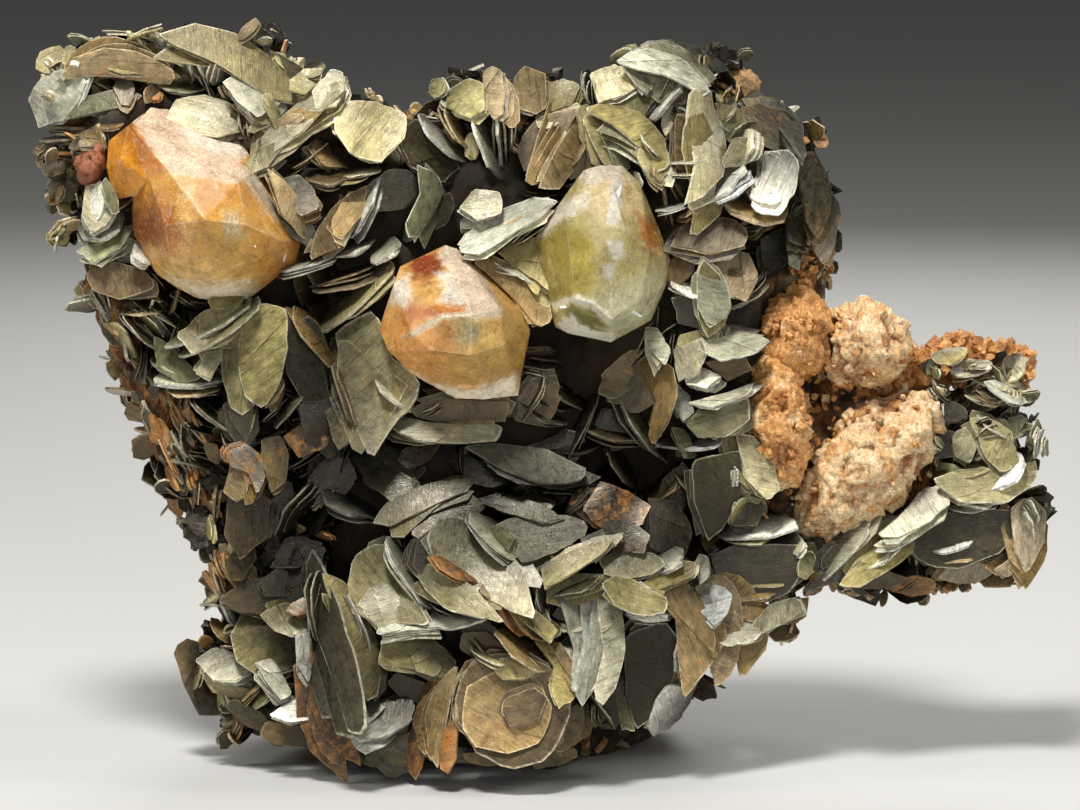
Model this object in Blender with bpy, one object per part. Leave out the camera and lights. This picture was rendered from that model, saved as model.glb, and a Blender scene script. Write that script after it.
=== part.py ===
"""Three clear crystals on a matrix of rock, mica books and feldspar, a cabinet specimen.

Lengths in the tables are millimetres and the finished objects are in metres. +Z is up, +X runs
along the specimen's width and -Y is the side with the crystals. The specimen stands on a face
that is cut flat on the bottom of its rock, and its origin is the bottom centre of its box.
"""
import math
import random
from collections import namedtuple

import bmesh
import bpy
from mathutils import Matrix, Vector, noise
from mathutils.bvhtree import BVHTree

# Scale of the tables and the gap that neighbouring pieces keep
MM = 0.001
GAP_MM = 0.45
CRYSTAL_GAP_MM = 0.4
SHARPEST_SHELL = 1.5
CLEAR_PASSES = 8
SHORT_SHARE = 0.2
FLOOR_CLEARANCE_MM = 1.0
FLOOR_BLOCK_MM = 200.0
MERGE_MM = 0.002

# Rock: lumps that grow together, as centre and half sizes
ROCK_LUMPS = (
    ((-15, 5, 50), (38, 18, 38)),
    ((-58, 4, 90), (12, 13, 13)),
    ((-37, 5, 82), (24, 15, 17)),
    ((-9, 5, 84), (24, 15, 14)),
    ((23, 3, 87), (17, 16, 14)),
    ((20, 5, 60), (20, 18, 24)),
    ((39, 3, 73), (5, 7, 7)),
    ((-10, 6, 20), (34, 23, 20)),
    ((17, 5, 25), (15, 17, 13)),
    ((-62, 5, 67), (6, 13, 12)),
    ((-55, 5, 48), (7.5, 15, 14)),
    ((-45, 5, 28), (8, 15, 15)),
    ((-36, 3, 10.5), (12, 14, 8)),
    ((40, 7, 45), (16, 13, 15)),
    ((54, 7, 43.5), (14, 12, 14)),
    ((67, 6, 43.5), (7.5, 11, 13)),
    ((-9, 9, 6), (32, 22, 11)),
)
# Broken faces of the rock: a place on each and the way that it faces
BROKEN_FACES = (
    ((0, 16, 95), (0.05, 1, 0.3)),
    ((-45, 17, 75), (-0.35, 1, 0.1)),
    ((-15, 21, 50), (-0.12, 1, -0.05)),
    ((22, 20, 60), (0.3, 1, 0.05)),
    ((58, 15, 45), (0.15, 1, 0.25)),
    ((-5, 28, 12), (0.05, 1, 0.15)),
    ((-40, 20, 20), (-0.6, 1, -0.1)),
    ((24, 20, 15), (0.7, 1, -0.2)),
    ((-66.5, 5, 70), (-0.93, -0.1, -0.37)),
)
BROKEN_SHARE = 0.85
ROCK_VOXEL_MM = 1.6
ROCK_SWELL_MM = 1.5
ROCK_SWELL_SCALE = 0.09
ROCK_SWELL_AT = (5.2, 1.9, 8.4)
ROCK_CRAG_MM = 1.7
ROCK_CRAG_SCALE = 0.13
ROCK_CRAG_DEPTH = 1.6
ROCK_TRIANGLES = 1400

# Crystals: the corners that their facets span
UPPER_LEFT_MAIN = (
    (-59, -14, 96), (-57, -6, 98.4), (-54.5, -5, 98), (-48.5, -5, 94.3), (-43.7, -6, 93.3),
    (-42.5, -8, 91.8), (-41.5, -12, 89.5), (-43.2, -19, 88.4), (-53, -20, 89.8), (-56.5, -17, 84.8),
    (-59.6, -10, 82.3), (-59.3, -10, 79.5), (-57.4, -11, 76.2), (-56, -11, 74), (-52.8, -12, 72),
    (-49.7, -12, 70.5), (-46, -12, 70), (-42.6, -12, 70.3), (-40.2, -11, 72.4), (-38, -11, 74.2),
    (-35.3, -10, 75.8), (-34.6, -10, 78.7), (-35.7, -10, 80.5), (-37.6, -11, 82.7), (-39, -12, 85.4),
    (-53.6, -22, 82.4), (-47.7, -24, 83.3), (-42, -22, 82.4), (-53.2, -20, 76.8), (-47.3, -21, 75.5),
    (-41, -19, 76.7), (-37.3, -17, 79.7), (-57.5, -2, 91.5), (-44, -2, 90), (-37, -2, 79),
    (-41.5, -3, 72), (-53.5, -3, 72),
)
UPPER_LEFT_SIDE = (
    (-59.5, -15, 96.2), (-58, -6, 97.5), (-63, -10, 93.6), (-63.2, -11, 90), (-62.5, -11, 86.5),
    (-61.8, -10, 85), (-58.5, -15, 86), (-60.6, -16, 91.3), (-56.5, -17.5, 88.6), (-54, -12, 88),
    (-56, -4, 86), (-62, -4, 88), (-61, -4, 94), (-57, -16, 93),
)
CENTRE = (
    (-18, -25, 67.2), (-13.5, -27, 69.7), (-9.2, -27.5, 70), (-5.2, -25, 70.5), (-23, -17, 66.6),
    (-0.8, -16, 66.5), (-13.3, -14, 78.7), (-11.6, -14, 78.2), (-20.7, -19, 73.5), (-19.9, -15, 75.7),
    (-5.6, -15, 72.7), (-1.8, -15, 69.3), (-15.2, -28, 64.9), (-9.5, -29, 64.3), (-4.5, -26, 65.4),
    (-21.6, -20, 63.9), (-18.5, -21, 60.7), (-15.1, -21, 58.9), (-11.7, -20, 56.7), (-7.9, -20, 56.6),
    (-2.6, -18, 56.9), (-1.5, -19, 63.2), (-17, -8, 74), (-8.3, -8, 73.5), (-4, -8, 65.4),
    (-7, -9, 58), (-18.5, -9, 61), (-21, -8, 68),
)
UPPER_RIGHT = (
    (6.9, -15, 89.8), (9.4, -15, 90.5), (12.6, -15, 90.4), (15.2, -15, 88), (17.9, -14, 81.6),
    (19.8, -14, 76.5), (19.2, -15, 72.9), (16.9, -16, 67.8), (11, -17, 64.6), (4.5, -17, 66),
    (2.8, -16, 66.8), (2.2, -15, 72.3), (0, -14, 76.9), (0, -14, 80), (3.1, -15, 84.1),
    (7.8, -22, 86), (11, -22, 88.2), (12.8, -25.5, 82), (9.2, -26, 79.2), (5.6, -25, 72.1),
    (8.1, -26, 71.4), (10.8, -25.5, 69.1), (15.1, -23.5, 71.6), (16.5, -22, 78.8), (4.3, -22, 83.6),
    (6, -7, 84.7), (14.5, -7, 84.7), (17.5, -7, 75.7), (15.5, -7, 68), (6, -7, 68), (2.2, -7, 76.5),
)
CRYSTALS = (
    ("fluorite_upper_left", (UPPER_LEFT_MAIN, UPPER_LEFT_SIDE), (0.86, 0.52, 0.16)),
    ("fluorite_centre", (CENTRE,), (0.84, 0.56, 0.25)),
    ("fluorite_upper_right", (UPPER_RIGHT,), (0.72, 0.68, 0.38)),
)

# Feldspar and small lumps: centre, half sizes, lean to the right in degrees, roughness, colour
Lump = namedtuple("Lump", "name centre half lean rough_mm colour")
LUMPS = (
    Lump("feldspar_ridge", (49.5, -7, 45), (7.3, 9, 14.5), 42, 0.8, (0.83, 0.66, 0.50)),
    Lump("feldspar_slab", (36, -9.5, 51.5), (5, 8, 10.5), -8, 0.6, (0.80, 0.58, 0.42)),
    Lump("feldspar_chunk", (38.5, -6, 64.5), (6, 8, 7), 0, 0.6, (0.76, 0.55, 0.40)),
    Lump("feldspar_knob", (49, -4, 62.5), (7.4, 8.5, 6.6), 0, 0.7, (0.84, 0.68, 0.54)),
    Lump("red_crystal", (-65.6, -7, 90), (2.4, 4.5, 3.2), 20, 0.2, (0.55, 0.24, 0.15)),
    Lump("brown_nodule", (29.6, 0, 100.8), (3.7, 4.2, 3.2), 0, 0.3, (0.42, 0.30, 0.18)),
)

LUMP_NOISE_SCALE = 0.35
LUMP_NOISE_STEP = 5.0

# Mica: clusters of books, as centre and half sizes of the packed root, the side that the books
# stand out to, the half width of a book and the number of books
Cluster = namedtuple("Cluster", "name centre half faces book_mm count")
CLUSTERS = (
    Cluster("mica_crest_left", (-62.5, 0, 100), (10.5, 11, 5.5), (-0.5, -0.5, 0.8), 5, 6),
    Cluster("mica_left_edge", (-67.5, 0, 86), (4.5, 11, 9), (-0.9, -0.5, 0), 4, 5),
    Cluster("mica_top_left", (-46, 0, 102), (12, 11, 5.5), (0, -0.5, 0.9), 5.5, 6),
    Cluster("mica_upper_inner", (-32, -9, 90), (12, 9, 14), (0.1, -0.9, 0.4), 6, 6),
    Cluster("mica_upper_middle", (-17, -9, 85), (10, 8, 11), (0, -0.9, 0.4), 5.5, 5),
    Cluster("mica_top_centre", (-5, -5, 94), (15, 12, 8.5), (0, -0.7, 0.7), 5.5, 7),
    Cluster("mica_top_right", (20, -5, 96), (14, 13, 9.5), (0, -0.6, 0.8), 5.5, 7),
    Cluster("mica_right_edge", (36, -4, 85), (7, 13, 14), (0.8, -0.6, 0.1), 5, 6),
    Cluster("mica_right_petals", (26, -10, 76), (11, 9, 12), (0.3, -0.9, 0), 5.5, 5),
    Cluster("mica_right_shingles", (21, -10, 56), (14, 10, 15), (0.2, -0.9, 0), 6, 6),
    Cluster("mica_left", (-46, -9, 60), (17, 9, 15), (-0.3, -0.9, 0), 6.5, 6),
    Cluster("mica_left_low", (-38, -9, 38), (14, 10, 15), (-0.3, -0.9, 0), 6, 5),
    Cluster("mica_centre_left", (-24, -10, 55), (15, 8.5, 17), (0, -1, 0), 7, 6),
    Cluster("mica_centre", (-1, -10, 48), (16, 8.5, 14), (0, -1, 0.1), 6.5, 6),
    Cluster("mica_lower_left", (-40, -9, 15), (12, 11, 12), (-0.6, -0.8, 0), 5, 6),
    Cluster("mica_rosette_left", (-22, -15, 20), (13, 12, 19), (-0.2, -0.95, 0), 6.5, 7),
    Cluster("mica_rosette_middle", (-2, -16, 20), (13, 12, 19), (0, -0.95, 0.1), 6.5, 7),
    Cluster("mica_rosette_right", (18, -13, 23), (13, 11, 16), (0.3, -0.9, 0), 6, 6),
    Cluster("mica_right_low", (34, -6, 32), (11, 10, 10), (0.4, -0.9, -0.1), 5, 6),
    Cluster("mica_arm_lower", (55, -4, 31), (16, 11, 7.5), (0, -0.8, -0.4), 4.5, 6),
    Cluster("mica_arm_end", (66.5, -1, 44), (7, 12, 13), (0.7, -0.7, 0), 4.5, 5),
)
BOOK_THICKNESS_MM = 1.6
BOOK_STRETCH = (0.8, 1.15)
BOOK_CORNERS = 6
CORNER_REACH = (0.85, 1.1)
BOOK_LEAN_DEG = 35
BOOK_STAND_OUT = 0.3
SPREAD = 0.85
ROOT_DEPTH = 0.75
GOLDEN_TURN = math.pi * (3.0 - math.sqrt(5.0))
CELL_REACH_MM = 70
SEED = 7

# Finishes: roughness of each kind of surface
ROCK_COLOUR = (0.33, 0.20, 0.10)
MICA_COLOUR = (0.40, 0.39, 0.29)
ROCK_ROUGHNESS = 0.9
MICA_ROUGHNESS = 0.4
CRYSTAL_ROUGHNESS = 0.12
LUMP_ROUGHNESS = 0.7


def clear_scene():
    """Remove whatever the scene holds."""
    for item in list(bpy.data.objects):
        bpy.data.objects.remove(item, do_unlink=True)


def finish(name, colour, roughness):
    """A material with one colour and one roughness."""
    material = bpy.data.materials.new(name)
    material.use_nodes = True
    shader = material.node_tree.nodes["Principled BSDF"]
    shader.inputs["Base Color"].default_value = (*colour, 1.0)
    shader.inputs["Roughness"].default_value = roughness
    shader.inputs["Metallic"].default_value = 0.0
    return material


def put(name, bm, material=None):
    """Make an object in the scene of a mesh under construction."""
    mesh = bpy.data.meshes.new(name)
    bm.to_mesh(mesh)
    bm.free()
    item = bpy.data.objects.new(name, mesh)
    bpy.context.collection.objects.link(item)
    if material:
        mesh.materials.append(material)
    return item


def evaluated(item):
    """The mesh of an object after its modifiers, under construction again."""
    bpy.context.view_layer.update()
    graph = bpy.context.evaluated_depsgraph_get()
    bm = bmesh.new()
    bm.from_object(item, graph)
    return bm


def drop(items):
    """Remove helper objects."""
    for item in items:
        bpy.data.objects.remove(item, do_unlink=True)


def combine(base, others, operation):
    """Join, cut or keep a solid with other solids, and return its new mesh."""
    for other in others:
        modifier = base.modifiers.new(operation.lower(), "BOOLEAN")
        modifier.operation = operation
        modifier.object = other
        modifier.solver = "EXACT"
        modifier.use_self = True
    bm = evaluated(base)
    base.modifiers.clear()
    return bm


def ellipsoid(centre, half, lean_deg=0.0, subdivisions=2):
    """A ball with three half sizes that leans to the right about the Y axis."""
    bm = bmesh.new()
    bmesh.ops.create_icosphere(bm, subdivisions=subdivisions, radius=1.0)
    turn = Matrix.Rotation(math.radians(lean_deg), 4, "Y")
    bm.transform(Matrix.Translation(centre) @ turn @ Matrix.Diagonal((*half, 1.0)))
    return bm


def grown(bm, distance):
    """A copy whose surface lies further out by an even distance."""
    bigger = bm.copy()
    bigger.normal_update()
    shells = [min(vert.calc_shell_factor(), SHARPEST_SHELL) for vert in bigger.verts]
    moves = [vert.normal * shell * distance for vert, shell in zip(bigger.verts, shells)]
    for vert, move in zip(bigger.verts, moves):
        vert.co += move
    return bigger


def shortfall(tree, place, distance):
    """How far a place outside a surface falls short of a distance to it."""
    near, normal, _, gap = tree.find_nearest(place)
    return distance - math.copysign(gap, (place - near).dot(normal))


def cleared(bigger, bm, distance):
    """Push out what lies too near, in a grown copy, to the surface that it grew from."""
    bm.normal_update()
    tree = BVHTree.FromBMesh(bm)
    for _ in range(CLEAR_PASSES):
        bigger.normal_update()
        for face in bigger.faces:
            short = shortfall(tree, face.calc_center_median(), distance)
            if short > SHORT_SHARE * distance:
                for vert in face.verts:
                    vert.co += face.normal * short / 2.0
        for edge in bigger.edges:
            first, second = edge.verts
            short = shortfall(tree, (first.co + second.co) / 2.0, distance)
            if short > SHORT_SHARE * distance:
                way = sum((face.normal for face in edge.link_faces), Vector()).normalized()
                first.co += way * short / 2.0
                second.co += way * short / 2.0
    return bigger


def roughened(bm, amplitude, scale, offset):
    """Move each point along its normal by smooth noise."""
    bm.normal_update()
    moves = []
    for vert in bm.verts:
        height = noise.fractal(vert.co * scale + offset, 1.0, 2.0, 3)
        moves.append(vert.normal * amplitude * height)
    for vert, move in zip(bm.verts, moves):
        vert.co += move
    return bm


def islands(bm):
    """The separate bodies of a mesh, as lists of faces."""
    left = set(bm.faces)
    bodies = []
    while left:
        stack = [left.pop()]
        body = list(stack)
        while stack:
            face = stack.pop()
            for edge in face.edges:
                for near in edge.link_faces:
                    if near in left:
                        left.remove(near)
                        stack.append(near)
                        body.append(near)
        bodies.append(body)
    return bodies


def body_volume(faces):
    """Volume inside a closed list of faces."""
    total = 0.0
    for face in faces:
        first = face.verts[0].co
        for second, third in zip(face.verts[1:], face.verts[2:]):
            total += first.dot(second.co.cross(third.co)) / 6.0
    return total


def largest_body(bm):
    """Delete all but the largest body, and leave triangles with no slivers."""
    bmesh.ops.remove_doubles(bm, verts=bm.verts[:], dist=MERGE_MM)
    bmesh.ops.dissolve_degenerate(bm, dist=MERGE_MM, edges=bm.edges[:])
    bmesh.ops.triangulate(bm, faces=bm.faces[:])
    bodies = sorted(islands(bm), key=body_volume)
    loose = [face for body in bodies[:-1] for face in body]
    bmesh.ops.delete(bm, geom=loose, context="FACES")
    lone = [vert for vert in bm.verts if not vert.link_faces]
    bmesh.ops.delete(bm, geom=lone, context="VERTS")
    return bm


def hull(corners):
    """The closed convex body that some corners span."""
    bm = bmesh.new()
    for corner in corners:
        bm.verts.new(corner)
    made = bmesh.ops.convex_hull(bm, input=bm.verts[:])
    inner = [item for item in made["geom_interior"] if isinstance(item, bmesh.types.BMVert)]
    bmesh.ops.delete(bm, geom=inner, context="VERTS")
    bm.normal_update()
    return bm


def crystal_body(parts):
    """One crystal, or several that grew into each other, as one body."""
    bodies = [put("crystal", hull(corners)) for corners in parts]
    bm = combine(bodies[0], bodies[1:], "UNION")
    drop(bodies)
    return bm


def crag_height(place):
    """Blocky relief of broken rock at a place, from about -1 to 1."""
    near, _ = noise.voronoi(place * ROCK_CRAG_SCALE)
    return 1.0 - ROCK_CRAG_DEPTH * near[0]


def broken_off(place):
    """The place after the rock beyond its broken faces is mostly gone."""
    for on_face, faces in BROKEN_FACES:
        way = Vector(faces).normalized()
        beyond = (place - Vector(on_face)).dot(way)
        if beyond > 0.0:
            place = place - way * beyond * BROKEN_SHARE
    return place


def joined_lumps():
    """The rock's lumps as overlapping closed balls in one mesh."""
    bm = bmesh.new()
    for centre, half in ROCK_LUMPS:
        lump = ellipsoid(centre, half, subdivisions=4)
        mesh = bpy.data.meshes.new("lump")
        lump.to_mesh(mesh)
        lump.free()
        bm.from_mesh(mesh)
        bpy.data.meshes.remove(mesh)
    return bm


def reskinned(bm):
    """One even outer skin round everything in a mesh."""
    item = put("lumps", bm)
    skin = item.modifiers.new("skin", "REMESH")
    skin.mode = "VOXEL"
    skin.voxel_size = ROCK_VOXEL_MM
    whole = evaluated(item)
    drop([item])
    return whole


def rock_body():
    """Lumps grown together into one rough rock with broken faces."""
    bm = reskinned(joined_lumps())
    for vert in bm.verts:
        vert.co = broken_off(vert.co)
    roughened(bm, ROCK_SWELL_MM, ROCK_SWELL_SCALE, Vector(ROCK_SWELL_AT))
    bm.normal_update()
    moves = [vert.normal * ROCK_CRAG_MM * crag_height(vert.co) for vert in bm.verts]
    for vert, move in zip(bm.verts, moves):
        vert.co += move
    item = put("rock", reskinned(bm))
    thin = item.modifiers.new("thin", "DECIMATE")
    thin.ratio = ROCK_TRIANGLES / (2.0 * len(item.data.polygons))
    thinned = evaluated(item)
    drop([item])
    return largest_body(thinned)


def floor_block():
    """A block that fills everything below the base plane."""
    bm = bmesh.new()
    bmesh.ops.create_cube(bm, size=FLOOR_BLOCK_MM)
    bm.transform(Matrix.Translation((0, 0, -FLOOR_BLOCK_MM / 2.0)))
    return bm


def book(rng, cluster, root, outward):
    """One six-sided mica book that stands on its edge with its root in the cluster."""
    half = cluster.book_mm * rng.uniform(*BOOK_STRETCH)
    corners = [half * rng.uniform(*CORNER_REACH) for _ in range(BOOK_CORNERS)]
    bm = bmesh.new()
    rims = []
    for level in (-0.5, 0.5):
        rim = []
        for index, reach in enumerate(corners):
            angle = math.tau * index / BOOK_CORNERS
            place = (reach * math.cos(angle), reach * math.sin(angle), level * BOOK_THICKNESS_MM)
            rim.append(bm.verts.new(place))
        rims.append(rim)
    bm.faces.new(reversed(rims[0]))
    bm.faces.new(rims[1])
    for index in range(BOOK_CORNERS):
        after = (index + 1) % BOOK_CORNERS
        bm.faces.new((rims[0][index], rims[0][after], rims[1][after], rims[1][index]))
    side = outward.orthogonal().normalized()
    side.rotate(Matrix.Rotation(rng.uniform(0, math.tau), 3, outward))
    lean = math.radians(rng.uniform(-BOOK_LEAN_DEG, BOOK_LEAN_DEG))
    side.rotate(Matrix.Rotation(lean, 3, outward.cross(side)))
    stand = side.to_track_quat("Z", "Y").to_matrix().to_4x4()
    bm.transform(Matrix.Translation(root + outward * half * BOOK_STAND_OUT) @ stand)
    return bm


def cluster_books(cluster, rng):
    """The books of a cluster, spread evenly over the side that it faces."""
    faces = Vector(cluster.faces).normalized()
    aim = faces.to_track_quat("Z", "Y").to_matrix()
    books = []
    for index in range(cluster.count):
        rise = 1.0 - SPREAD * (index + 0.5) / cluster.count
        turn = index * GOLDEN_TURN
        ring = math.sqrt(1.0 - rise * rise)
        outward = aim @ Vector((ring * math.cos(turn), ring * math.sin(turn), rise))
        reach = Vector(part * half for part, half in zip(outward, cluster.half))
        root = Vector(cluster.centre) + reach * ROOT_DEPTH
        books.append(put("book", book(rng, cluster, root, outward)))
    return books


def reach_towards(cluster, direction):
    """Half size of a cluster's root along a direction."""
    parts = [(part / half) ** 2 for part, half in zip(direction, cluster.half)]
    return 1.0 / math.sqrt(sum(parts))


def cell(cluster):
    """The convex room that a cluster has between its neighbours and above the base plane."""
    bm = bmesh.new()
    bmesh.ops.create_cube(bm, size=2.0 * CELL_REACH_MM)
    centre = Vector(cluster.centre)
    bm.transform(Matrix.Translation(centre))
    planes = [(Vector((0, 0, FLOOR_CLEARANCE_MM)), Vector((0, 0, -1)))]
    for other in CLUSTERS:
        if other is cluster:
            continue
        way = Vector(other.centre) - centre
        direction = way.normalized()
        own = reach_towards(cluster, direction)
        share = own / (own + reach_towards(other, direction))
        planes.append((centre + way * share - direction * GAP_MM / 2, direction))
    for place, direction in planes:
        whole = bm.verts[:] + bm.edges[:] + bm.faces[:]
        cut = bmesh.ops.bisect_plane(bm, geom=whole, plane_co=place, plane_no=direction, clear_outer=True)
        edges = [item for item in cut["geom_cut"] if isinstance(item, bmesh.types.BMEdge)]
        if edges:
            bmesh.ops.contextual_create(bm, geom=edges)
    bmesh.ops.recalc_face_normals(bm, faces=bm.faces[:])
    return bm


def boxes_meet(first, second):
    """Whether the boxes round two objects overlap."""
    lows = []
    highs = []
    for item in (first, second):
        points = [vert.co for vert in item.data.vertices]
        lows.append([min(point[axis] for point in points) for axis in range(3)])
        highs.append([max(point[axis] for point in points) for axis in range(3)])
    return all(lows[0][axis] < highs[1][axis] and lows[1][axis] < highs[0][axis] for axis in range(3))


def build_crystals():
    """The crystals, and a slightly grown copy of each that makes its socket."""
    crystals = []
    sockets = []
    for name, parts, colour in CRYSTALS:
        bm = largest_body(crystal_body(parts))
        sockets.append(put("socket", grown(bm, CRYSTAL_GAP_MM)))
        crystals.append(put(name, bm, finish(name, colour, CRYSTAL_ROUGHNESS)))
    return crystals, sockets


def build_rock(sockets):
    """The rock with its sockets and its flat base, and its slightly grown copy."""
    bm = rock_body()
    swollen = put("swollen_rock", cleared(grown(bm, GAP_MM), bm, GAP_MM))
    item = put("rock", bm)
    floor = put("floor", floor_block())
    bm = largest_body(combine(item, sockets + [floor], "DIFFERENCE"))
    drop([item, floor])
    return put("matrix_rock", bm, finish("matrix_rock", ROCK_COLOUR, ROCK_ROUGHNESS)), swollen


def build_lumps(swollen_rock, sockets):
    """Feldspar pieces and small lumps, each cut to sit against the rock and those before it."""
    pieces = []
    rooms = []
    for index, lump in enumerate(LUMPS):
        bm = ellipsoid(lump.centre, lump.half, lump.lean)
        offset = Vector((index * LUMP_NOISE_STEP, 0, 0))
        roughened(bm, lump.rough_mm, LUMP_NOISE_SCALE, offset)
        room = put("room", grown(bm, GAP_MM))
        item = put("lump", bm)
        near = [other for other in sockets + rooms if boxes_meet(item, other)]
        bm = largest_body(combine(item, [swollen_rock] + near, "DIFFERENCE"))
        drop([item])
        rooms.append(room)
        pieces.append(put(lump.name, bm, finish(lump.name, lump.colour, LUMP_ROUGHNESS)))
    return pieces, rooms


def build_mica(swollen_rock, solids):
    """The mica clusters, each a root with books, cut to the room that it has."""
    pieces = []
    for index, cluster in enumerate(CLUSTERS):
        rng = random.Random(SEED + index)
        root = put("root", ellipsoid(cluster.centre, cluster.half, subdivisions=1))
        books = cluster_books(cluster, rng)
        whole = put("whole", combine(root, books, "UNION"))
        near = [other for other in solids if boxes_meet(whole, other)]
        carved = put("carved", combine(whole, [swollen_rock] + near, "DIFFERENCE"))
        room = put("cell", cell(cluster))
        bm = largest_body(combine(carved, [room], "INTERSECT"))
        drop([root, whole, carved, room] + books)
        pieces.append(put(cluster.name, bm, finish(cluster.name, MICA_COLOUR, MICA_ROUGHNESS)))
    return pieces


def settle(pieces):
    """Turn millimetres into metres and put the origin at the bottom centre of the box."""
    points = [vert.co for piece in pieces for vert in piece.data.vertices]
    middle = []
    for axis in range(2):
        values = [point[axis] for point in points]
        middle.append((min(values) + max(values)) / 2.0)
    bottom = min(point.z for point in points)
    move = Matrix.Translation((-middle[0], -middle[1], -bottom))
    for piece in pieces:
        piece.data.transform(Matrix.Diagonal((MM, MM, MM, 1.0)) @ move)
        piece.data.update()


def main():
    clear_scene()
    crystals, sockets = build_crystals()
    rock, swollen_rock = build_rock(sockets)
    lumps, rooms = build_lumps(swollen_rock, sockets)
    mica = build_mica(swollen_rock, sockets + rooms)
    drop(sockets + rooms + [swollen_rock])
    settle([rock] + crystals + lumps + mica)


main()
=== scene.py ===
"""Looks of three clear crystals on a matrix of mica books, feldspar and iron-stained rock.

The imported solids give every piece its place. Lengths in the tables are millimetres in the part's
own frame: +X is the specimen's width, +Z is up, and -Y is the side with the crystals. A place
that was read from the photograph is a pixel of its 1080 by 810 frame, and a line of sight takes
it to the depth of what carries it.
"""

import math
from collections import namedtuple

import bmesh
import bpy
import numpy as np
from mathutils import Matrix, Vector, noise
from mathutils.bvhtree import BVHTree


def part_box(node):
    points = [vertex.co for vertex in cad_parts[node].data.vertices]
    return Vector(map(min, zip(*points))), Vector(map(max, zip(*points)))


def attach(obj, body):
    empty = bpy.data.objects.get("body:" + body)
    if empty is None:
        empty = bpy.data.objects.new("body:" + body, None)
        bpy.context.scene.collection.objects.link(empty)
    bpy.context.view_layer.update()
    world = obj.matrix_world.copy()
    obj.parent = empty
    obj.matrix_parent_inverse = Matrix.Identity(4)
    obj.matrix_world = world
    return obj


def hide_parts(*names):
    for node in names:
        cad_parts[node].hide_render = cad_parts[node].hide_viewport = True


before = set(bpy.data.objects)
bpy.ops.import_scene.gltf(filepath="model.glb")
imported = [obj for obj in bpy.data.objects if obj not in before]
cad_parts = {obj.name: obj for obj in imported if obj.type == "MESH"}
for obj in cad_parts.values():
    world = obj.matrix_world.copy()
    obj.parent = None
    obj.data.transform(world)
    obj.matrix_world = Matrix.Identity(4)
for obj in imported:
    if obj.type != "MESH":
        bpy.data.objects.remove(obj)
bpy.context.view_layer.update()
MM = 0.001
SEED = 11

# The photograph's view: frame in pixels, size of a pixel at the aim, and where the camera stands
PHOTO_WIDTH = 1080
PHOTO_HEIGHT = 810
PIXEL_MM = 0.148
CAMERA_MM = 600.0
CAMERA_RISE = math.radians(8.0)
AIM = np.array((0.26, -7.9, 54.7))
SENSOR_MM = 36.0
FORWARD = np.array((0.0, math.cos(CAMERA_RISE), -math.sin(CAMERA_RISE)))
RIGHT = np.array((1.0, 0.0, 0.0))
UP = np.array((0.0, math.sin(CAMERA_RISE), math.cos(CAMERA_RISE)))
EYE = AIM - FORWARD * CAMERA_MM

# Mica finishes: colour of the faces, colour of the edges, and how far iron has stained them. The
# dark finish is partly the mica's own dark tone and partly painted shade on plates in shade; the
# white finish is partly silvery mica and partly painted highlight on plates and edges that catch
# the light
Look = namedtuple("Look", "face edge stain")
LOOKS = {
    "olive": Look((0.350, 0.300, 0.125), (0.92, 0.86, 0.64), 0.06),
    "green": Look((0.235, 0.220, 0.105), (0.86, 0.82, 0.62), 0.03),
    "silver": Look((0.480, 0.460, 0.320), (0.96, 0.94, 0.82), 0.00),
    "white": Look((0.700, 0.690, 0.600), (0.96, 0.95, 0.88), 0.00),
    "moss": Look((0.440, 0.370, 0.140), (0.84, 0.76, 0.48), 0.12),
    "tan": Look((0.350, 0.240, 0.098), (0.82, 0.68, 0.44), 0.22),
    "brown": Look((0.160, 0.112, 0.052), (0.62, 0.50, 0.32), 0.15),
    "dark": Look((0.055, 0.046, 0.024), (0.62, 0.57, 0.42), 0.04),
    "rust": Look((0.270, 0.140, 0.052), (0.66, 0.42, 0.18), 0.55),
}

# The mica's front: pixel and y of spots on it, over how many pixels a spot keeps its own y, how
# fast its say falls off beyond them, and how far the front stays before the rock
FRONT_BLUR_PIXELS = 20.0
FRONT_FALLOFF = 1.5
ROCK_COVER_MM = 1.0
FRONT = (
    (60, 110, 2.5), (60, 190, 3), (165, 60, 1.5), (280, 100, -3), (340, 200, -6), (440, 120, -3),
    (480, 210, -8), (540, 90, -2), (650, 90, -3), (700, 200, -7), (790, 150, 0), (690, 300, -9),
    (720, 400, -10), (640, 420, -9), (560, 430, -9), (440, 440, -9), (350, 400, -10),
    (250, 360, -9), (150, 400, -4), (300, 480, -9), (230, 640, -7), (330, 650, -14),
    (390, 620, -15), (470, 570, -18), (510, 700, -20), (600, 600, -18), (680, 620, -14),
    (720, 620, -10), (760, 560, -7), (880, 560, -6), (970, 520, -3), (1000, 380, 0),
    (120, 200, -5), (100, 240, -3), (800, 250, 1),
)

# Books seen on their face: pixel of the middle, half sizes and turn in degrees in the picture,
# how far the face leans to the right and up, millimetres in front of the rest, and the finish
Face = namedtuple("Face", "u v long short turn right up out look")
# Books seen on their face with an outline of their own
Shape = namedtuple("Shape", "corners right up out look")
# Books seen from the edge: the edge's two ends, its thickness in pixels, how far the face opens
# to the camera in degrees, reach into the specimen, millimetres in front, and the finish
Rim = namedtuple("Rim", "u0 v0 u1 v1 pixels opens reach out look")

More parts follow.
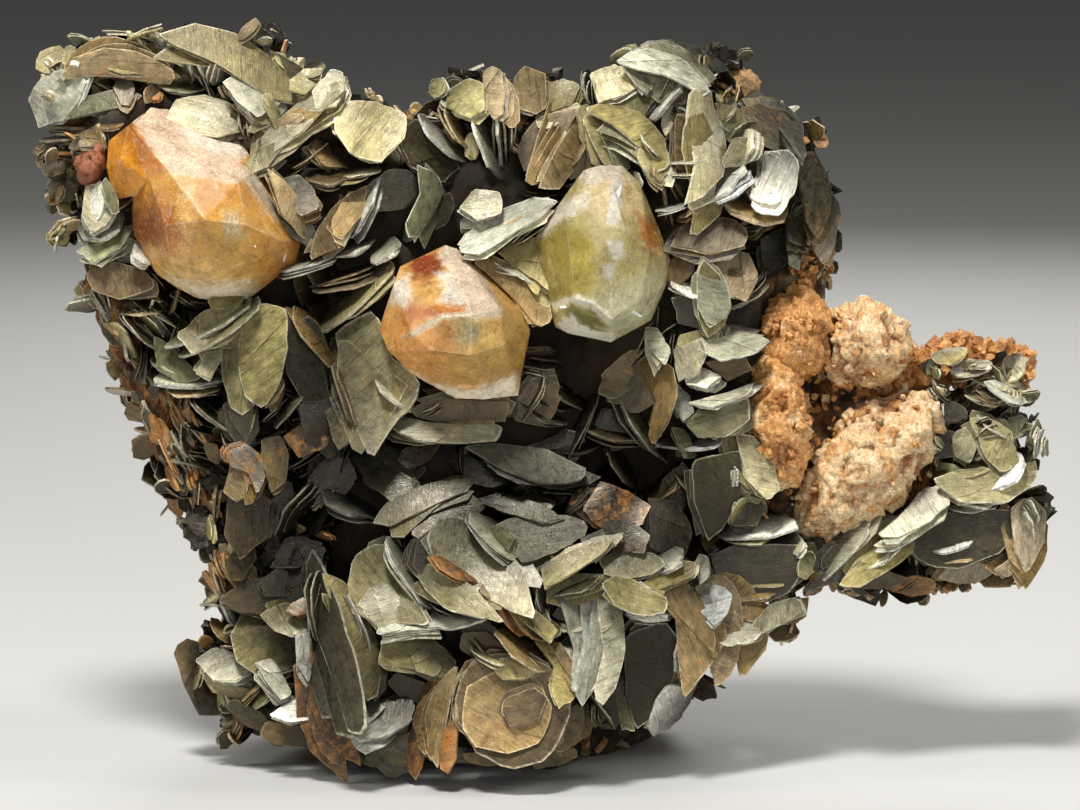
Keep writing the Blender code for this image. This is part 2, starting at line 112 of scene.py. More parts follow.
TOP_LEFT = (
    Shape(((62, 80), (78, 58), (105, 50), (132, 52), (158, 62), (173, 71), (168, 82), (140, 80),
           (108, 76), (80, 76)), -0.1, -0.5, 3, "tan"),
    Shape(((31, 98), (45, 78), (60, 70), (84, 80), (78, 100), (64, 118), (40, 124)),
          -0.5, 0.2, 2, "silver"),
    Shape(((66, 118), (84, 98), (112, 91), (140, 95), (128, 106), (98, 112)), 0, 0.3, 1, "green"),
    Rim(34, 131, 118, 127, 10, 14, 9, 3, "tan"),
    Rim(36, 143, 100, 138, 8, 10, 8, 3.5, "brown"),
    Rim(40, 154, 88, 150, 7, 8, 8, 3.5, "rust"),
    Face(62, 186, 17, 15, 60, -0.4, 0.1, 3, "tan"),
    Face(54, 168, 12, 9, 20, -0.4, 0.3, 3, "brown"),
    Shape(((163, 37), (196, 27), (233, 36), (262, 54), (287, 80), (293, 102), (270, 98), (245, 82),
           (215, 62), (183, 48)), 0.2, 0.4, 1, "olive"),
    Face(150, 52, 20, 9, 20, 0, 0.6, 0, "moss"),
    Rim(186, 40, 194, 86, 6, 20, 8, 4, "silver"),
    Rim(200, 48, 203, 84, 4, 18, 7, 4, "silver"),
    Rim(215, 56, 201, 84, 4, -16, 7, 4.5, "olive"),
    Rim(222, 54, 207, 84, 3, -16, 7, 4.5, "silver"),
    Rim(172, 58, 166, 84, 4, 14, 7, 4, "olive"),
    Shape(((225, 82), (247, 70), (269, 80), (280, 102), (258, 115), (238, 100)), 0.2, 0.5, 2,
          "silver"),
    Rim(141, 84, 214, 96, 6, 18, 9, 4, "green"),
    Face(258, 112, 16, 8, -50, 0.3, 0.3, 3, "olive"),
    Face(272, 110, 22, 7, -66, 0.5, 0.2, 3.5, "olive"),
    Shape(((168, 122), (178, 100), (205, 96), (233, 107), (238, 130), (215, 136), (190, 130)),
          0.1, 0.5, 3, "moss"),
    Rim(236, 108, 246, 148, 3, 10, 8, 3, "dark"),
    Rim(245, 112, 252, 146, 3, 10, 8, 3, "brown"),
    Face(264, 124, 20, 5, 25, 0, 0.3, 3, "olive"),
    Face(258, 106, 24, 16, 10, 0, 0.2, 0.5, "brown"),
    Face(300, 118, 54, 13, 42, -0.5, 0.5, 5, "olive"),
    Face(288, 134, 46, 9, 40, -0.3, -0.2, 4.5, "tan"),
    Face(262, 158, 26, 9, 42, -0.2, 0.4, 6, "olive"),
    Face(330, 88, 22, 14, 60, 0, 0.5, 4, "olive"),
    Face(306, 82, 20, 12, 30, 0, 0.6, 2, "moss"),
    Rim(300, 80, 326, 70, 5, 20, 8, 3, "olive"),
    Shape(((270, 172), (286, 184), (302, 206), (314, 242), (300, 234), (282, 212)),
          0.8, 0.1, 5, "tan"),
)
UPPER_INNER = (
    Shape(((336, 112), (352, 104), (378, 104), (402, 114), (403, 135), (380, 160), (352, 152),
           (338, 132)), 0.1, 0.4, 4, "olive"),
    Rim(337, 114, 360, 164, 6, 16, 9, 5, "tan"),
    Rim(285, 174, 332, 146, 4, 12, 8, 4, "brown"),
    Rim(304, 184, 346, 186, 8, 30, 7, 4, "brown"),
    Rim(338, 180, 384, 172, 5, 14, 8, 4.5, "olive"),
    Rim(350, 246, 384, 180, 7, 22, 8, 5, "silver"),
    Shape(((280, 182), (298, 176), (312, 188), (318, 207), (300, 215), (286, 202)),
          0, 0.2, 4, "brown"),
    Shape(((310, 258), (318, 230), (334, 208), (352, 194), (364, 188), (362, 216), (340, 246)),
          0.3, 0.1, 3, "brown"),
    Face(348, 215, 28, 12, 62, 0.3, 0.3, 4, "tan"),
    Face(300, 230, 22, 12, -50, 0.1, 0.1, 2, "dark"),
    Rim(387, 134, 412, 160, 7, -24, 9, 4, "olive"),
    Rim(413, 119, 462, 170, 9, 24, 9, 5, "silver"),
    Rim(436, 102, 466, 160, 7, 20, 9, 4, "tan"),
    Rim(464, 111, 496, 186, 8, 20, 9, 5, "silver"),
    Shape(((395, 128), (418, 122), (458, 168), (440, 182), (412, 166)), 0.4, 0.2, 3, "dark"),
    Shape(((418, 168), (436, 176), (442, 194), (428, 214), (412, 236), (406, 224), (420, 194)),
          0.5, 0.1, 4, "green"),
    Face(392, 190, 30, 22, 20, 0.1, 0, 0, "dark"),
    Face(440, 212, 20, 14, 60, -0.2, 0.1, 0, "dark"),
    Rim(276, 276, 340, 258, 8, 16, 9, 6, "silver"),
    Rim(372, 270, 402, 246, 8, 20, 8, 6, "silver"),
    Rim(330, 262, 376, 248, 6, 16, 8, 5, "white"),
    Rim(300, 290, 380, 266, 7, 10, 9, 3, "brown"),
    Shape(((461, 208), (476, 191), (500, 193), (501, 212), (478, 219)), -0.2, 0.5, 6, "silver"),
    Face(472, 222, 14, 10, 20, -0.4, 0.1, 5, "green"),
    Shape(((462, 251), (473, 232), (500, 212), (530, 200), (554, 203), (542, 215), (512, 235),
           (482, 253)), -0.3, 0.6, 7, "silver"),
    Rim(466, 250, 540, 208, 6, 24, 8, 8, "tan"),
    Rim(500, 252, 548, 210, 5, 10, 8, 6, "dark"),
)
TOP_BAND = (
    Shape(((447, 106), (453, 90), (468, 80), (482, 84), (484, 108), (470, 118)),
          -0.4, 0.3, 3, "olive"),
    Rim(437, 100, 452, 112, 5, 20, 8, 3, "silver"),
    Shape(((484, 74), (492, 68), (500, 72), (504, 92), (502, 112), (494, 118), (486, 104)),
          -0.5, 0.2, 5, "tan"),
    Rim(495, 72, 498, 172, 11, 14, 11, 6, "green"),
    Rim(503, 80, 506, 168, 6, 12, 10, 5.5, "dark"),
    Rim(512, 110, 512, 160, 6, 12, 9, 5, "green"),
    Face(530, 92, 23, 19, 84, 0.1, 0.3, 4, "tan"),
    Face(548, 96, 16, 10, 70, 0.3, 0.2, 3, "olive"),
    Shape(((549, 84), (564, 78), (579, 86), (572, 104), (552, 110)), 0, 0.3, 3, "moss"),
    Rim(582, 72, 588, 114, 8, 10, 9, 5, "dark"),
    Rim(591, 70, 595, 112, 5, 10, 9, 5, "green"),
    Shape(((592, 76), (612, 66), (630, 70), (636, 86), (618, 98), (600, 102)), -0.1, 0.5, 4,
          "olive"),
    Shape(((622, 66), (640, 70), (652, 86), (648, 94), (636, 84)), 0.5, 0.6, 5, "silver"),
    Shape(((606, 100), (628, 90), (648, 86), (655, 96), (642, 116), (620, 114)), 0.1, 0.3, 5,
          "green"),
    Shape(((588, 110), (612, 103), (640, 116), (664, 140), (668, 163), (656, 168), (640, 148),
           (614, 126)), 0.3, 0.6, 5, "olive"),
    Shape(((584, 122), (592, 112), (604, 120), (614, 142), (617, 166), (605, 164), (592, 142)),
          0.4, 0.3, 6, "olive"),
    Shape(((600, 130), (612, 124), (626, 142), (630, 166), (618, 172)), 0.4, 0.3, 4.5, "green"),
    Shape(((636, 148), (650, 156), (664, 178), (662, 186), (652, 180), (640, 164)), 0.4, 0.4, 6,
          "olive"),
    Shape(((519, 152), (526, 132), (541, 118), (577, 110), (562, 140), (546, 166), (526, 168)),
          -0.2, -0.1, 4, "tan"),
    Face(556, 116, 26, 9, 22, -0.2, 0.6, 5, "olive"),
    Rim(534, 190, 582, 108, 8, 22, 10, 7, "olive"),
    Shape(((540, 186), (558, 148), (580, 112), (588, 132), (578, 162), (560, 186)), 0.5, 0.1, 6,
          "tan"),
    Rim(566, 178, 588, 138, 5, 14, 9, 7, "brown"),
    Face(596, 166, 22, 10, 70, 0.2, 0.1, 4, "brown"),
    Shape(((619, 63), (634, 53), (650, 50), (682, 60), (707, 88), (700, 94), (668, 76), (640, 70)),
          0.2, 0.7, 5, "silver"),
    Shape(((640, 74), (666, 74), (690, 90), (684, 104), (660, 104), (646, 92)), 0.1, 0.2, 3.5,
          "olive"),
    Shape(((690, 94), (708, 94), (722, 130), (724, 150), (718, 178), (700, 194), (686, 200),
           (694, 160), (688, 120)), 0.7, 0.2, 4, "olive"),
    Shape(((676, 118), (690, 112), (704, 128), (706, 158), (692, 176), (676, 164)), 0.3, 0, 3.5,
          "brown"),
    Rim(652, 130, 693, 80, 12, 26, 10, 8, "white"),
    Rim(655, 112, 674, 76, 4, 10, 9, 6, "dark"),
    Rim(667, 167, 712, 161, 5, 14, 9, 6, "silver"),
    Rim(668, 176, 704, 172, 4, 10, 9, 5.5, "green"),
    Rim(632, 134, 668, 170, 5, 20, 9, 6.5, "olive"),
    Rim(642, 172, 640, 196, 4, 20, 7, 7, "silver"),
    Rim(652, 166, 664, 190, 4, 20, 7, 7, "tan"),
)
RIGHT_SIDE = (
    Shape(((716, 104), (736, 108), (746, 124), (736, 144), (722, 134)), 0.2, 0.3, 3, "olive"),
    Rim(717, 130, 742, 106, 5, 20, 9, 5, "silver"),
    Rim(722, 144, 746, 116, 6, -20, 9, 4, "green"),
    Shape(((740, 106), (760, 101), (785, 107), (800, 124), (806, 150), (800, 164), (790, 140),
           (768, 118)), 0.6, 0.6, 4, "silver"),
    Shape(((742, 110), (760, 106), (782, 114), (796, 128), (800, 150), (786, 156), (756, 140)),
          0.5, 0.2, 4.5, "tan"),
    Shape(((764, 156), (785, 152), (798, 164), (794, 190), (780, 214), (758, 210), (752, 204),
           (762, 180)), 0.1, 0.45, 7, "white"),
    Rim(708, 205, 754, 170, 11, 26, 9, 7, "white"),
    Rim(746, 168, 760, 132, 8, 24, 9, 6, "silver"),
    Rim(714, 208, 788, 231, 14, 30, 10, 8, "tan"),
    Shape(((798, 160), (814, 154), (830, 182), (829, 210), (817, 236), (806, 218), (800, 188)),
          0.9, 0.1, 3, "tan"),
    Shape(((788, 196), (800, 190), (808, 214), (800, 244), (788, 238)), 0.6, 0.1, 4, "olive"),
    Rim(786, 222, 800, 196, 5, -26, 8, 6, "silver"),
    Shape(((760, 240), (786, 226), (800, 236), (786, 264), (764, 274)), 0.6, 0, 3, "green"),
    Rim(801, 234, 818, 222, 9, 30, 6, 4, "white"),
    Face(728, 182, 24, 18, 50, 0.2, -0.1, 2, "dark"),
    Face(738, 152, 20, 14, 30, 0.2, 0.1, 2, "olive"),
    Rim(655, 213, 689, 206, 4, 12, 8, 5, "silver"),
    Rim(678, 222, 702, 205, 4, 12, 8, 6, "tan"),
    Shape(((674, 246), (684, 228), (706, 218), (734, 220), (745, 232), (742, 246), (708, 254)),
          0.1, 0.4, 5, "brown"),
    Shape(((690, 252), (704, 234), (738, 238), (744, 248), (720, 254)), 0.1, 0.6, 6, "brown"),
    Shape(((702, 258), (726, 250), (748, 256), (757, 276), (744, 302), (728, 296), (716, 274)),
          0.3, 0.3, 6, "tan"),
    Face(738, 284, 18, 11, -60, 0.3, 0.1, 6.5, "brown"),
    Face(682, 268, 18, 12, 60, -0.2, 0.1, 4, "brown"),
    Shape(((702, 258), (720, 272), (730, 296), (726, 314), (708, 326), (698, 304), (698, 274)),
          0.3, 0.1, 7, "green"),
    Shape(((672, 300), (696, 294), (722, 306), (724, 316), (704, 328), (680, 322)), 0, -0.3, 4,
          "dark"),
    Rim(668, 288, 718, 306, 6, 22, 8, 8, "white"),
    Rim(700, 322, 762, 296, 7, 16, 9, 4, "dark"),
    Rim(712, 318, 774, 292, 6, 24, 9, 5, "green"),
    Rim(734, 296, 770, 274, 6, 20, 9, 4, "green"),
    Face(700, 340, 24, 10, 10, -0.1, 0.1, 3, "olive"),
    Shape(((674, 350), (702, 341), (706, 356), (696, 374), (680, 380)), -0.4, 0.2, 6, "silver"),
    Shape(((700, 350), (724, 338), (748, 334), (768, 342), (752, 354), (722, 360)), 0.1, 0.9, 7,
          "silver"),
    Shape(((706, 362), (744, 356), (750, 370), (728, 380)), 0, -0.2, 5, "brown"),
    Shape(((686, 384), (700, 367), (720, 376), (706, 388)), -0.1, 0.5, 6, "silver"),
    Shape(((690, 402), (716, 396), (752, 388), (744, 396), (712, 406)), 0, 1.0, 7, "silver"),
    Shape(((688, 424), (700, 410), (746, 400), (747, 420), (724, 437), (700, 436)), 0, 0.2, 6,
          "green"),
    Shape(((736, 436), (752, 440), (770, 456), (778, 488), (768, 500), (748, 480)), 0.4, 0.3, 6,
          "olive"),
    Face(752, 486, 20, 12, -30, 0.2, 0.1, 5, "green"),
    Rim(652, 454, 732, 450, 8, 20, 9, 8, "white"),
    Shape(((693, 462), (738, 455), (741, 486), (724, 524), (708, 538), (696, 500)), 0.2, -0.15, 7,
          "dark"),
    Rim(736, 456, 740, 492, 6, -30, 8, 8, "silver"),
    Rim(738, 492, 722, 528, 4, -24, 8, 8, "olive"),
    Face(746, 512, 22, 15, 8, 0, 0.2, 5, "dark"),
    Face(676, 490, 26, 18, 60, 0.2, 0, 2, "brown"),
    Shape(((646, 328), (658, 330), (670, 350), (664, 364), (648, 346)), -0.3, 0.5, 5, "silver"),
    Shape(((636, 366), (652, 356), (672, 370), (677, 392), (669, 418), (654, 446), (648, 432),
           (660, 402), (654, 378)), -0.3, 0.2, 7, "tan"),
    Face(640, 392, 24, 16, 60, -0.1, 0.1, 5, "brown"),
    Rim(612, 393, 660, 474, 7, 20, 9, 8, "olive"),
    Rim(579, 433, 654, 448, 6, 18, 9, 6, "tan"),
    Shape(((676, 384), (688, 396), (692, 412), (683, 422), (674, 402)), 0.5, 0.2, 6, "silver"),
    Shape(((672, 428), (686, 432), (696, 456), (684, 458)), 0.4, 0.1, 6, "green"),
    Shape(((604, 374), (628, 352), (652, 352), (642, 380), (614, 398), (600, 392)), 0, 0.3, 4,
          "tan"),
    Rim(600, 450, 634, 496, 6, 18, 9, 6, "olive"),
    Rim(650, 504, 686, 480, 5, 16, 9, 6, "tan"),
    Rim(668, 470, 700, 500, 4, 16, 9, 5, "brown"),
    Face(618, 430, 26, 20, 40, 0, 0, 0, "dark"),
)
CENTRE = (
    Shape(((473, 264), (488, 257), (516, 270), (545, 290), (548, 320), (534, 324), (516, 300),
           (492, 278)), 0.2, 0.3, 6, "tan"),
    Rim(487, 258, 545, 290, 5, 24, 6, 7, "silver"),
    Shape(((500, 254), (518, 240), (536, 240), (548, 276), (546, 290), (520, 268)), 0.1, 0.3, 5,
          "moss"),
    Shape(((340, 336), (378, 318), (392, 362), (420, 382), (398, 422), (372, 454), (342, 390)),
          -0.2, 0.3, 3, "olive"),
    Rim(316, 348, 400, 272, 9, 26, 9, 5, "olive"),
    Rim(370, 384, 412, 416, 6, 18, 8, 7, "silver"),
    Shape(((394, 424), (404, 416), (430, 424), (462, 426), (498, 424), (494, 438), (460, 442),
           (424, 441), (402, 433)), 0, 0.8, 7, "olive"),
    Shape(((414, 408), (440, 398), (472, 402), (510, 402), (504, 420), (452, 424), (420, 416)),
          0, -0.1, 4, "brown"),
    Rim(420, 416, 444, 402, 4, 14, 7, 6, "tan"),
    Shape(((470, 448), (500, 446), (545, 450), (584, 470), (584, 480), (540, 484), (504, 470)),
          0.1, 0.5, 6, "green"),
    Rim(480, 460, 548, 484, 5, 24, 7, 7, "white"),
    Shape(((350, 442), (376, 436), (410, 468), (414, 490), (391, 500), (366, 482)), 0, 0.4, 3,
          "green"),
    Face(400, 460, 30, 18, -30, 0, 0.3, 2, "dark"),
    Shape(((375, 520), (392, 500), (430, 484), (470, 477), (462, 492), (424, 510), (392, 524)),
          -0.2, 0.6, 6, "olive"),
    Rim(313, 499, 383, 528, 7, 22, 8, 7, "silver"),
    Rim(267, 544, 304, 481, 8, -24, 9, 5, "olive"),
    Shape(((412, 534), (432, 508), (468, 494), (482, 510), (460, 526), (432, 542)), 0, 0.4, 3,
          "brown"),
    Shape(((476, 500), (500, 493), (540, 504), (562, 516), (542, 522), (506, 512)), 0, 0.6, 4,
          "green"),
    Rim(564, 522, 592, 488, 5, 18, 8, 5, "silver"),
    Shape(((584, 512), (600, 488), (626, 492), (648, 506), (640, 524), (602, 530)), 0, 0.4, 5,
          "rust"),
    Shape(((604, 524), (630, 520), (648, 536), (646, 552), (612, 552)), -0.1, 0.4, 6, "brown"),
    Shape(((650, 500), (676, 504), (692, 530), (682, 560), (652, 546)), 0.2, 0.1, 4, "brown"),
    Rim(548, 372, 520, 430, 5, 14, 8, 4, "dark"),
    Rim(600, 400, 566, 468, 5, 16, 8, 4, "dark"),
    Face(540, 400, 30, 22, 50, 0, 0.1, 1, "brown"),
    Face(560, 450, 30, 20, 20, 0, 0.2, 0, "dark"),
    Face(480, 470, 34, 16, -15, 0, 0.2, 0, "dark"),
    Rim(460, 448, 462, 482, 4, 12, 8, 3, "dark"),
    Face(420, 452, 24, 12, 40, 0, 0.3, 2, "brown"),
)
LEFT_SIDE = (
    Shape(((86, 190), (100, 180), (112, 188), (118, 204), (108, 222), (92, 232), (84, 214)),
          -0.2, 0.3, 6, "silver"),
    Face(98, 204, 24, 8, 70, -0.5, 0.2, 7, "silver"),
    Face(110, 196, 20, 6, 110, 0.3, 0.3, 6.5, "green"),
    Rim(80, 246, 130, 226, 11, 34, 9, 7, "silver"),
    Shape(((79, 252), (100, 232), (132, 228), (120, 248), (96, 262)), -0.1, 0.7, 5, "green"),
    Face(116, 246, 24, 9, 6, 0, 0, 4, "dark"),
    Rim(126, 252, 150, 268, 8, 28, 7, 9, "white"),
    Shape(((86, 274), (110, 262), (146, 272), (152, 288), (120, 298), (96, 290)), 0, 0.2, 4,
          "brown"),
    Shape(((240, 342), (246, 318), (262, 306), (284, 312), (286, 345), (278, 380), (262, 404),
           (246, 392), (238, 366)), -0.3, 0.15, 7, "olive"),
    Face(274, 392, 16, 8, 55, -0.2, 0.3, 9, "tan"),
    Rim(287, 313, 332, 372, 7, 20, 9, 8, "tan"),
    Rim(330, 370, 374, 456, 7, 18, 9, 8, "tan"),
    Shape(((286, 316), (302, 326), (322, 366), (328, 400), (304, 404), (288, 372)), 0.3, 0, 4,
          "dark"),
    Shape(((300, 404), (330, 400), (346, 440), (330, 458), (306, 440)), 0.2, 0, 3, "brown"),
    Rim(166, 360, 258, 306, 9, 22, 9, 7, "green"),
    Rim(150, 388, 232, 386, 8, 24, 9, 8, "silver"),
    Rim(164, 396, 226, 393, 5, 20, 9, 7, "tan"),
    Rim(178, 398, 246, 444, 9, 20, 9, 6, "dark"),
    Rim(272, 434, 310, 388, 6, 18, 9, 7, "olive"),
    Rim(258, 430, 292, 398, 5, 14, 9, 6, "dark"),
    Rim(152, 365, 196, 380, 7, 22, 8, 6, "green"),
    Shape(((156, 338), (172, 348), (200, 376), (180, 384), (158, 366)), -0.2, 0.3, 4, "green"),
    Shape(((178, 334), (206, 312), (240, 306), (252, 320), (226, 344), (194, 352)), 0, 0.3, 4,
          "olive"),
    Shape(((196, 372), (214, 346), (226, 350), (210, 380)), 0.2, 0.2, 5, "olive"),
    Face(226, 300, 18, 8, 10, 0, 0.5, 4, "moss"),
    Rim(118, 316, 168, 312, 5, 14, 8, 4, "tan"),
    Rim(170, 318, 184, 280, 4, 14, 8, 4, "brown"),
    Rim(116, 318, 160, 356, 5, 16, 8, 5, "dark"),
    Rim(226, 330, 230, 392, 4, 14, 8, 3, "brown"),
    Shape(((228, 396), (256, 392), (258, 430), (248, 444), (232, 420)), 0, 0, 3, "brown"),
    Rim(256, 400, 250, 444, 4, 18, 8, 5, "olive"),
    Shape(((229, 454), (246, 446), (260, 456), (265, 478), (256, 492), (248, 472), (230, 466)),
          -0.1, 0.3, 7, "rust"),
    Face(240, 482, 20, 14, 70, -0.2, 0.2, 6, "tan"),
    Face(252, 486, 22, 8, 80, 0.4, 0.2, 7, "tan"),
    Shape(((262, 442), (280, 436), (288, 454), (285, 480), (272, 490), (264, 466)), 0.2, 0.2, 6,
          "tan"),
    Face(246, 520, 34, 22, 80, -0.1, 0.1, 4, "brown"),
    Face(276, 512, 24, 12, 60, 0.2, 0, 2, "dark"),
    Shape(((286, 436), (310, 420), (332, 424), (326, 446), (300, 456)), 0.1, 0.2, 4, "rust"),
    Rim(286, 474, 330, 444, 5, 12, 8, 4, "brown"),
    Face(330, 480, 28, 20, 50, 0, 0, 0, "dark"),
    Rim(262, 570, 330, 566, 5, 14, 8, 4, "dark"),
    Face(300, 556, 30, 14, 10, 0, 0.1, 1, "dark"),
    Rim(218, 436, 236, 456, 4, 12, 7, 5, "dark"),
)
LOWER_LEFT = (
    Shape(((197, 661), (216, 648), (232, 656), (250, 672), (236, 682), (214, 680)), -0.2, 0.7, 6,
          "silver"),
    Shape(((202, 672), (224, 684), (254, 690), (246, 700), (214, 692)), -0.2, -0.2, 5, "moss"),
    Shape(((234, 636), (246, 612), (272, 606), (298, 616), (300, 640), (292, 668), (262, 676),
           (240, 660)), -0.1, 0.3, 6, "olive"),
    Shape(((262, 616), (284, 604), (312, 606), (312, 630), (292, 636), (276, 630)), 0.1, 0.5, 7,
          "moss"),
    Face(300, 608, 14, 8, 20, 0, 0.5, 7.5, "rust"),
    Shape(((256, 664), (272, 660), (282, 676), (292, 694), (280, 698), (266, 680)), 0.2, 0.6, 9,
          "silver"),
    Shape(((270, 714), (288, 704), (312, 696), (313, 718), (290, 722)), 0, 0.7, 9, "white"),
    Rim(241, 706, 268, 680, 4, 16, 7, 8, "tan"),
    Rim(252, 712, 274, 684, 5, 16, 7, 8, "olive"),
    Shape(((296, 636), (312, 632), (316, 660), (308, 680), (298, 664)), 0.4, 0.2, 8, "silver"),
    Rim(216, 600, 236, 632, 6, 20, 7, 5, "silver"),
    Shape(((222, 600), (250, 580), (282, 578), (300, 600), (280, 612), (240, 612)), 0, 0.2, 4,
          "brown"),
    Face(240, 562, 22, 14, 60, -0.2, 0.1, 4, "brown"),
    Face(280, 584, 22, 14, 0, 0, 0.1, 3, "dark"),
    Shape(((311, 566), (317, 557), (326, 572), (340, 606), (352, 646), (364, 700), (366, 728),
           (350, 724), (334, 676), (318, 630), (311, 600)), -0.75, 0.15, 11, "dark"),
    Shape(((322, 578), (338, 582), (352, 592), (372, 630), (379, 662), (376, 690), (366, 694),
           (350, 640), (334, 604)), 0.5, 0.3, 9, "olive"),
    Rim(350, 592, 378, 662, 5, -28, 7, 10, "silver"),
    Rim(311, 572, 313, 650, 6, 24, 8, 12, "dark"),
    Shape(((310, 650), (324, 654), (342, 700), (352, 732), (360, 768), (344, 756), (322, 732),
           (312, 704)), -0.3, -0.1, 11, "rust"),
    Shape(((352, 732), (350, 716), (372, 708), (396, 698), (413, 702), (409, 722), (386, 736),
           (362, 741)), 0.1, 0.9, 12, "white"),
    Shape(((340, 690), (364, 690), (384, 706), (364, 728), (350, 726)), -0.2, 0.6, 11, "silver"),
    Face(396, 712, 18, 12, 20, 0.1, 0.5, 10, "silver"),
    Shape(((350, 590), (356, 562), (372, 550), (384, 548), (396, 566), (412, 594), (428, 624),
           (410, 622), (380, 620), (356, 612)), -0.1, 0.35, 6, "olive"),
    Rim(376, 546, 430, 622, 7, 24, 7, 9, "silver"),
    Shape(((358, 606), (372, 588), (388, 580), (404, 590), (418, 612), (404, 630), (380, 626)),
          0, 0.4, 8, "olive"),
    Shape(((378, 634), (386, 618), (408, 610), (428, 620), (434, 630), (408, 630)), 0, 0.8, 10,
          "silver"),
    Shape(((380, 664), (386, 642), (412, 634), (436, 642), (453, 662), (446, 680), (418, 668)),
          0.2, 0.3, 8, "olive"),
    Rim(380, 662, 440, 668, 5, 20, 7, 9, "silver"),
    Face(412, 690, 26, 12, -30, 0.1, -0.1, 6, "green"),
    Face(426, 664, 18, 10, -40, 0.3, 0.3, 9, "olive"),
    Face(404, 748, 24, 16, 10, 0, 0, 7, "olive"),
    Face(388, 738, 22, 14, 20, 0, -0.3, 7, "brown"),
    Face(374, 752, 14, 14, 80, 0.2, -0.1, 8, "olive"),
    Face(326, 744, 18, 10, -50, -0.1, -0.3, 8, "brown"),
    Face(290, 736, 34, 12, -12, 0, -0.2, 4, "tan"),
    Face(250, 716, 30, 10, -30, -0.3, -0.3, 4, "brown"),
    Shape(((418, 540), (436, 528), (440, 560), (428, 580), (414, 566)), 0.2, 0.2, 4, "dark"),
    Rim(424, 602, 458, 620, 5, 16, 7, 7, "green"),
    Rim(430, 572, 448, 604, 4, 16, 7, 6, "olive"),
)
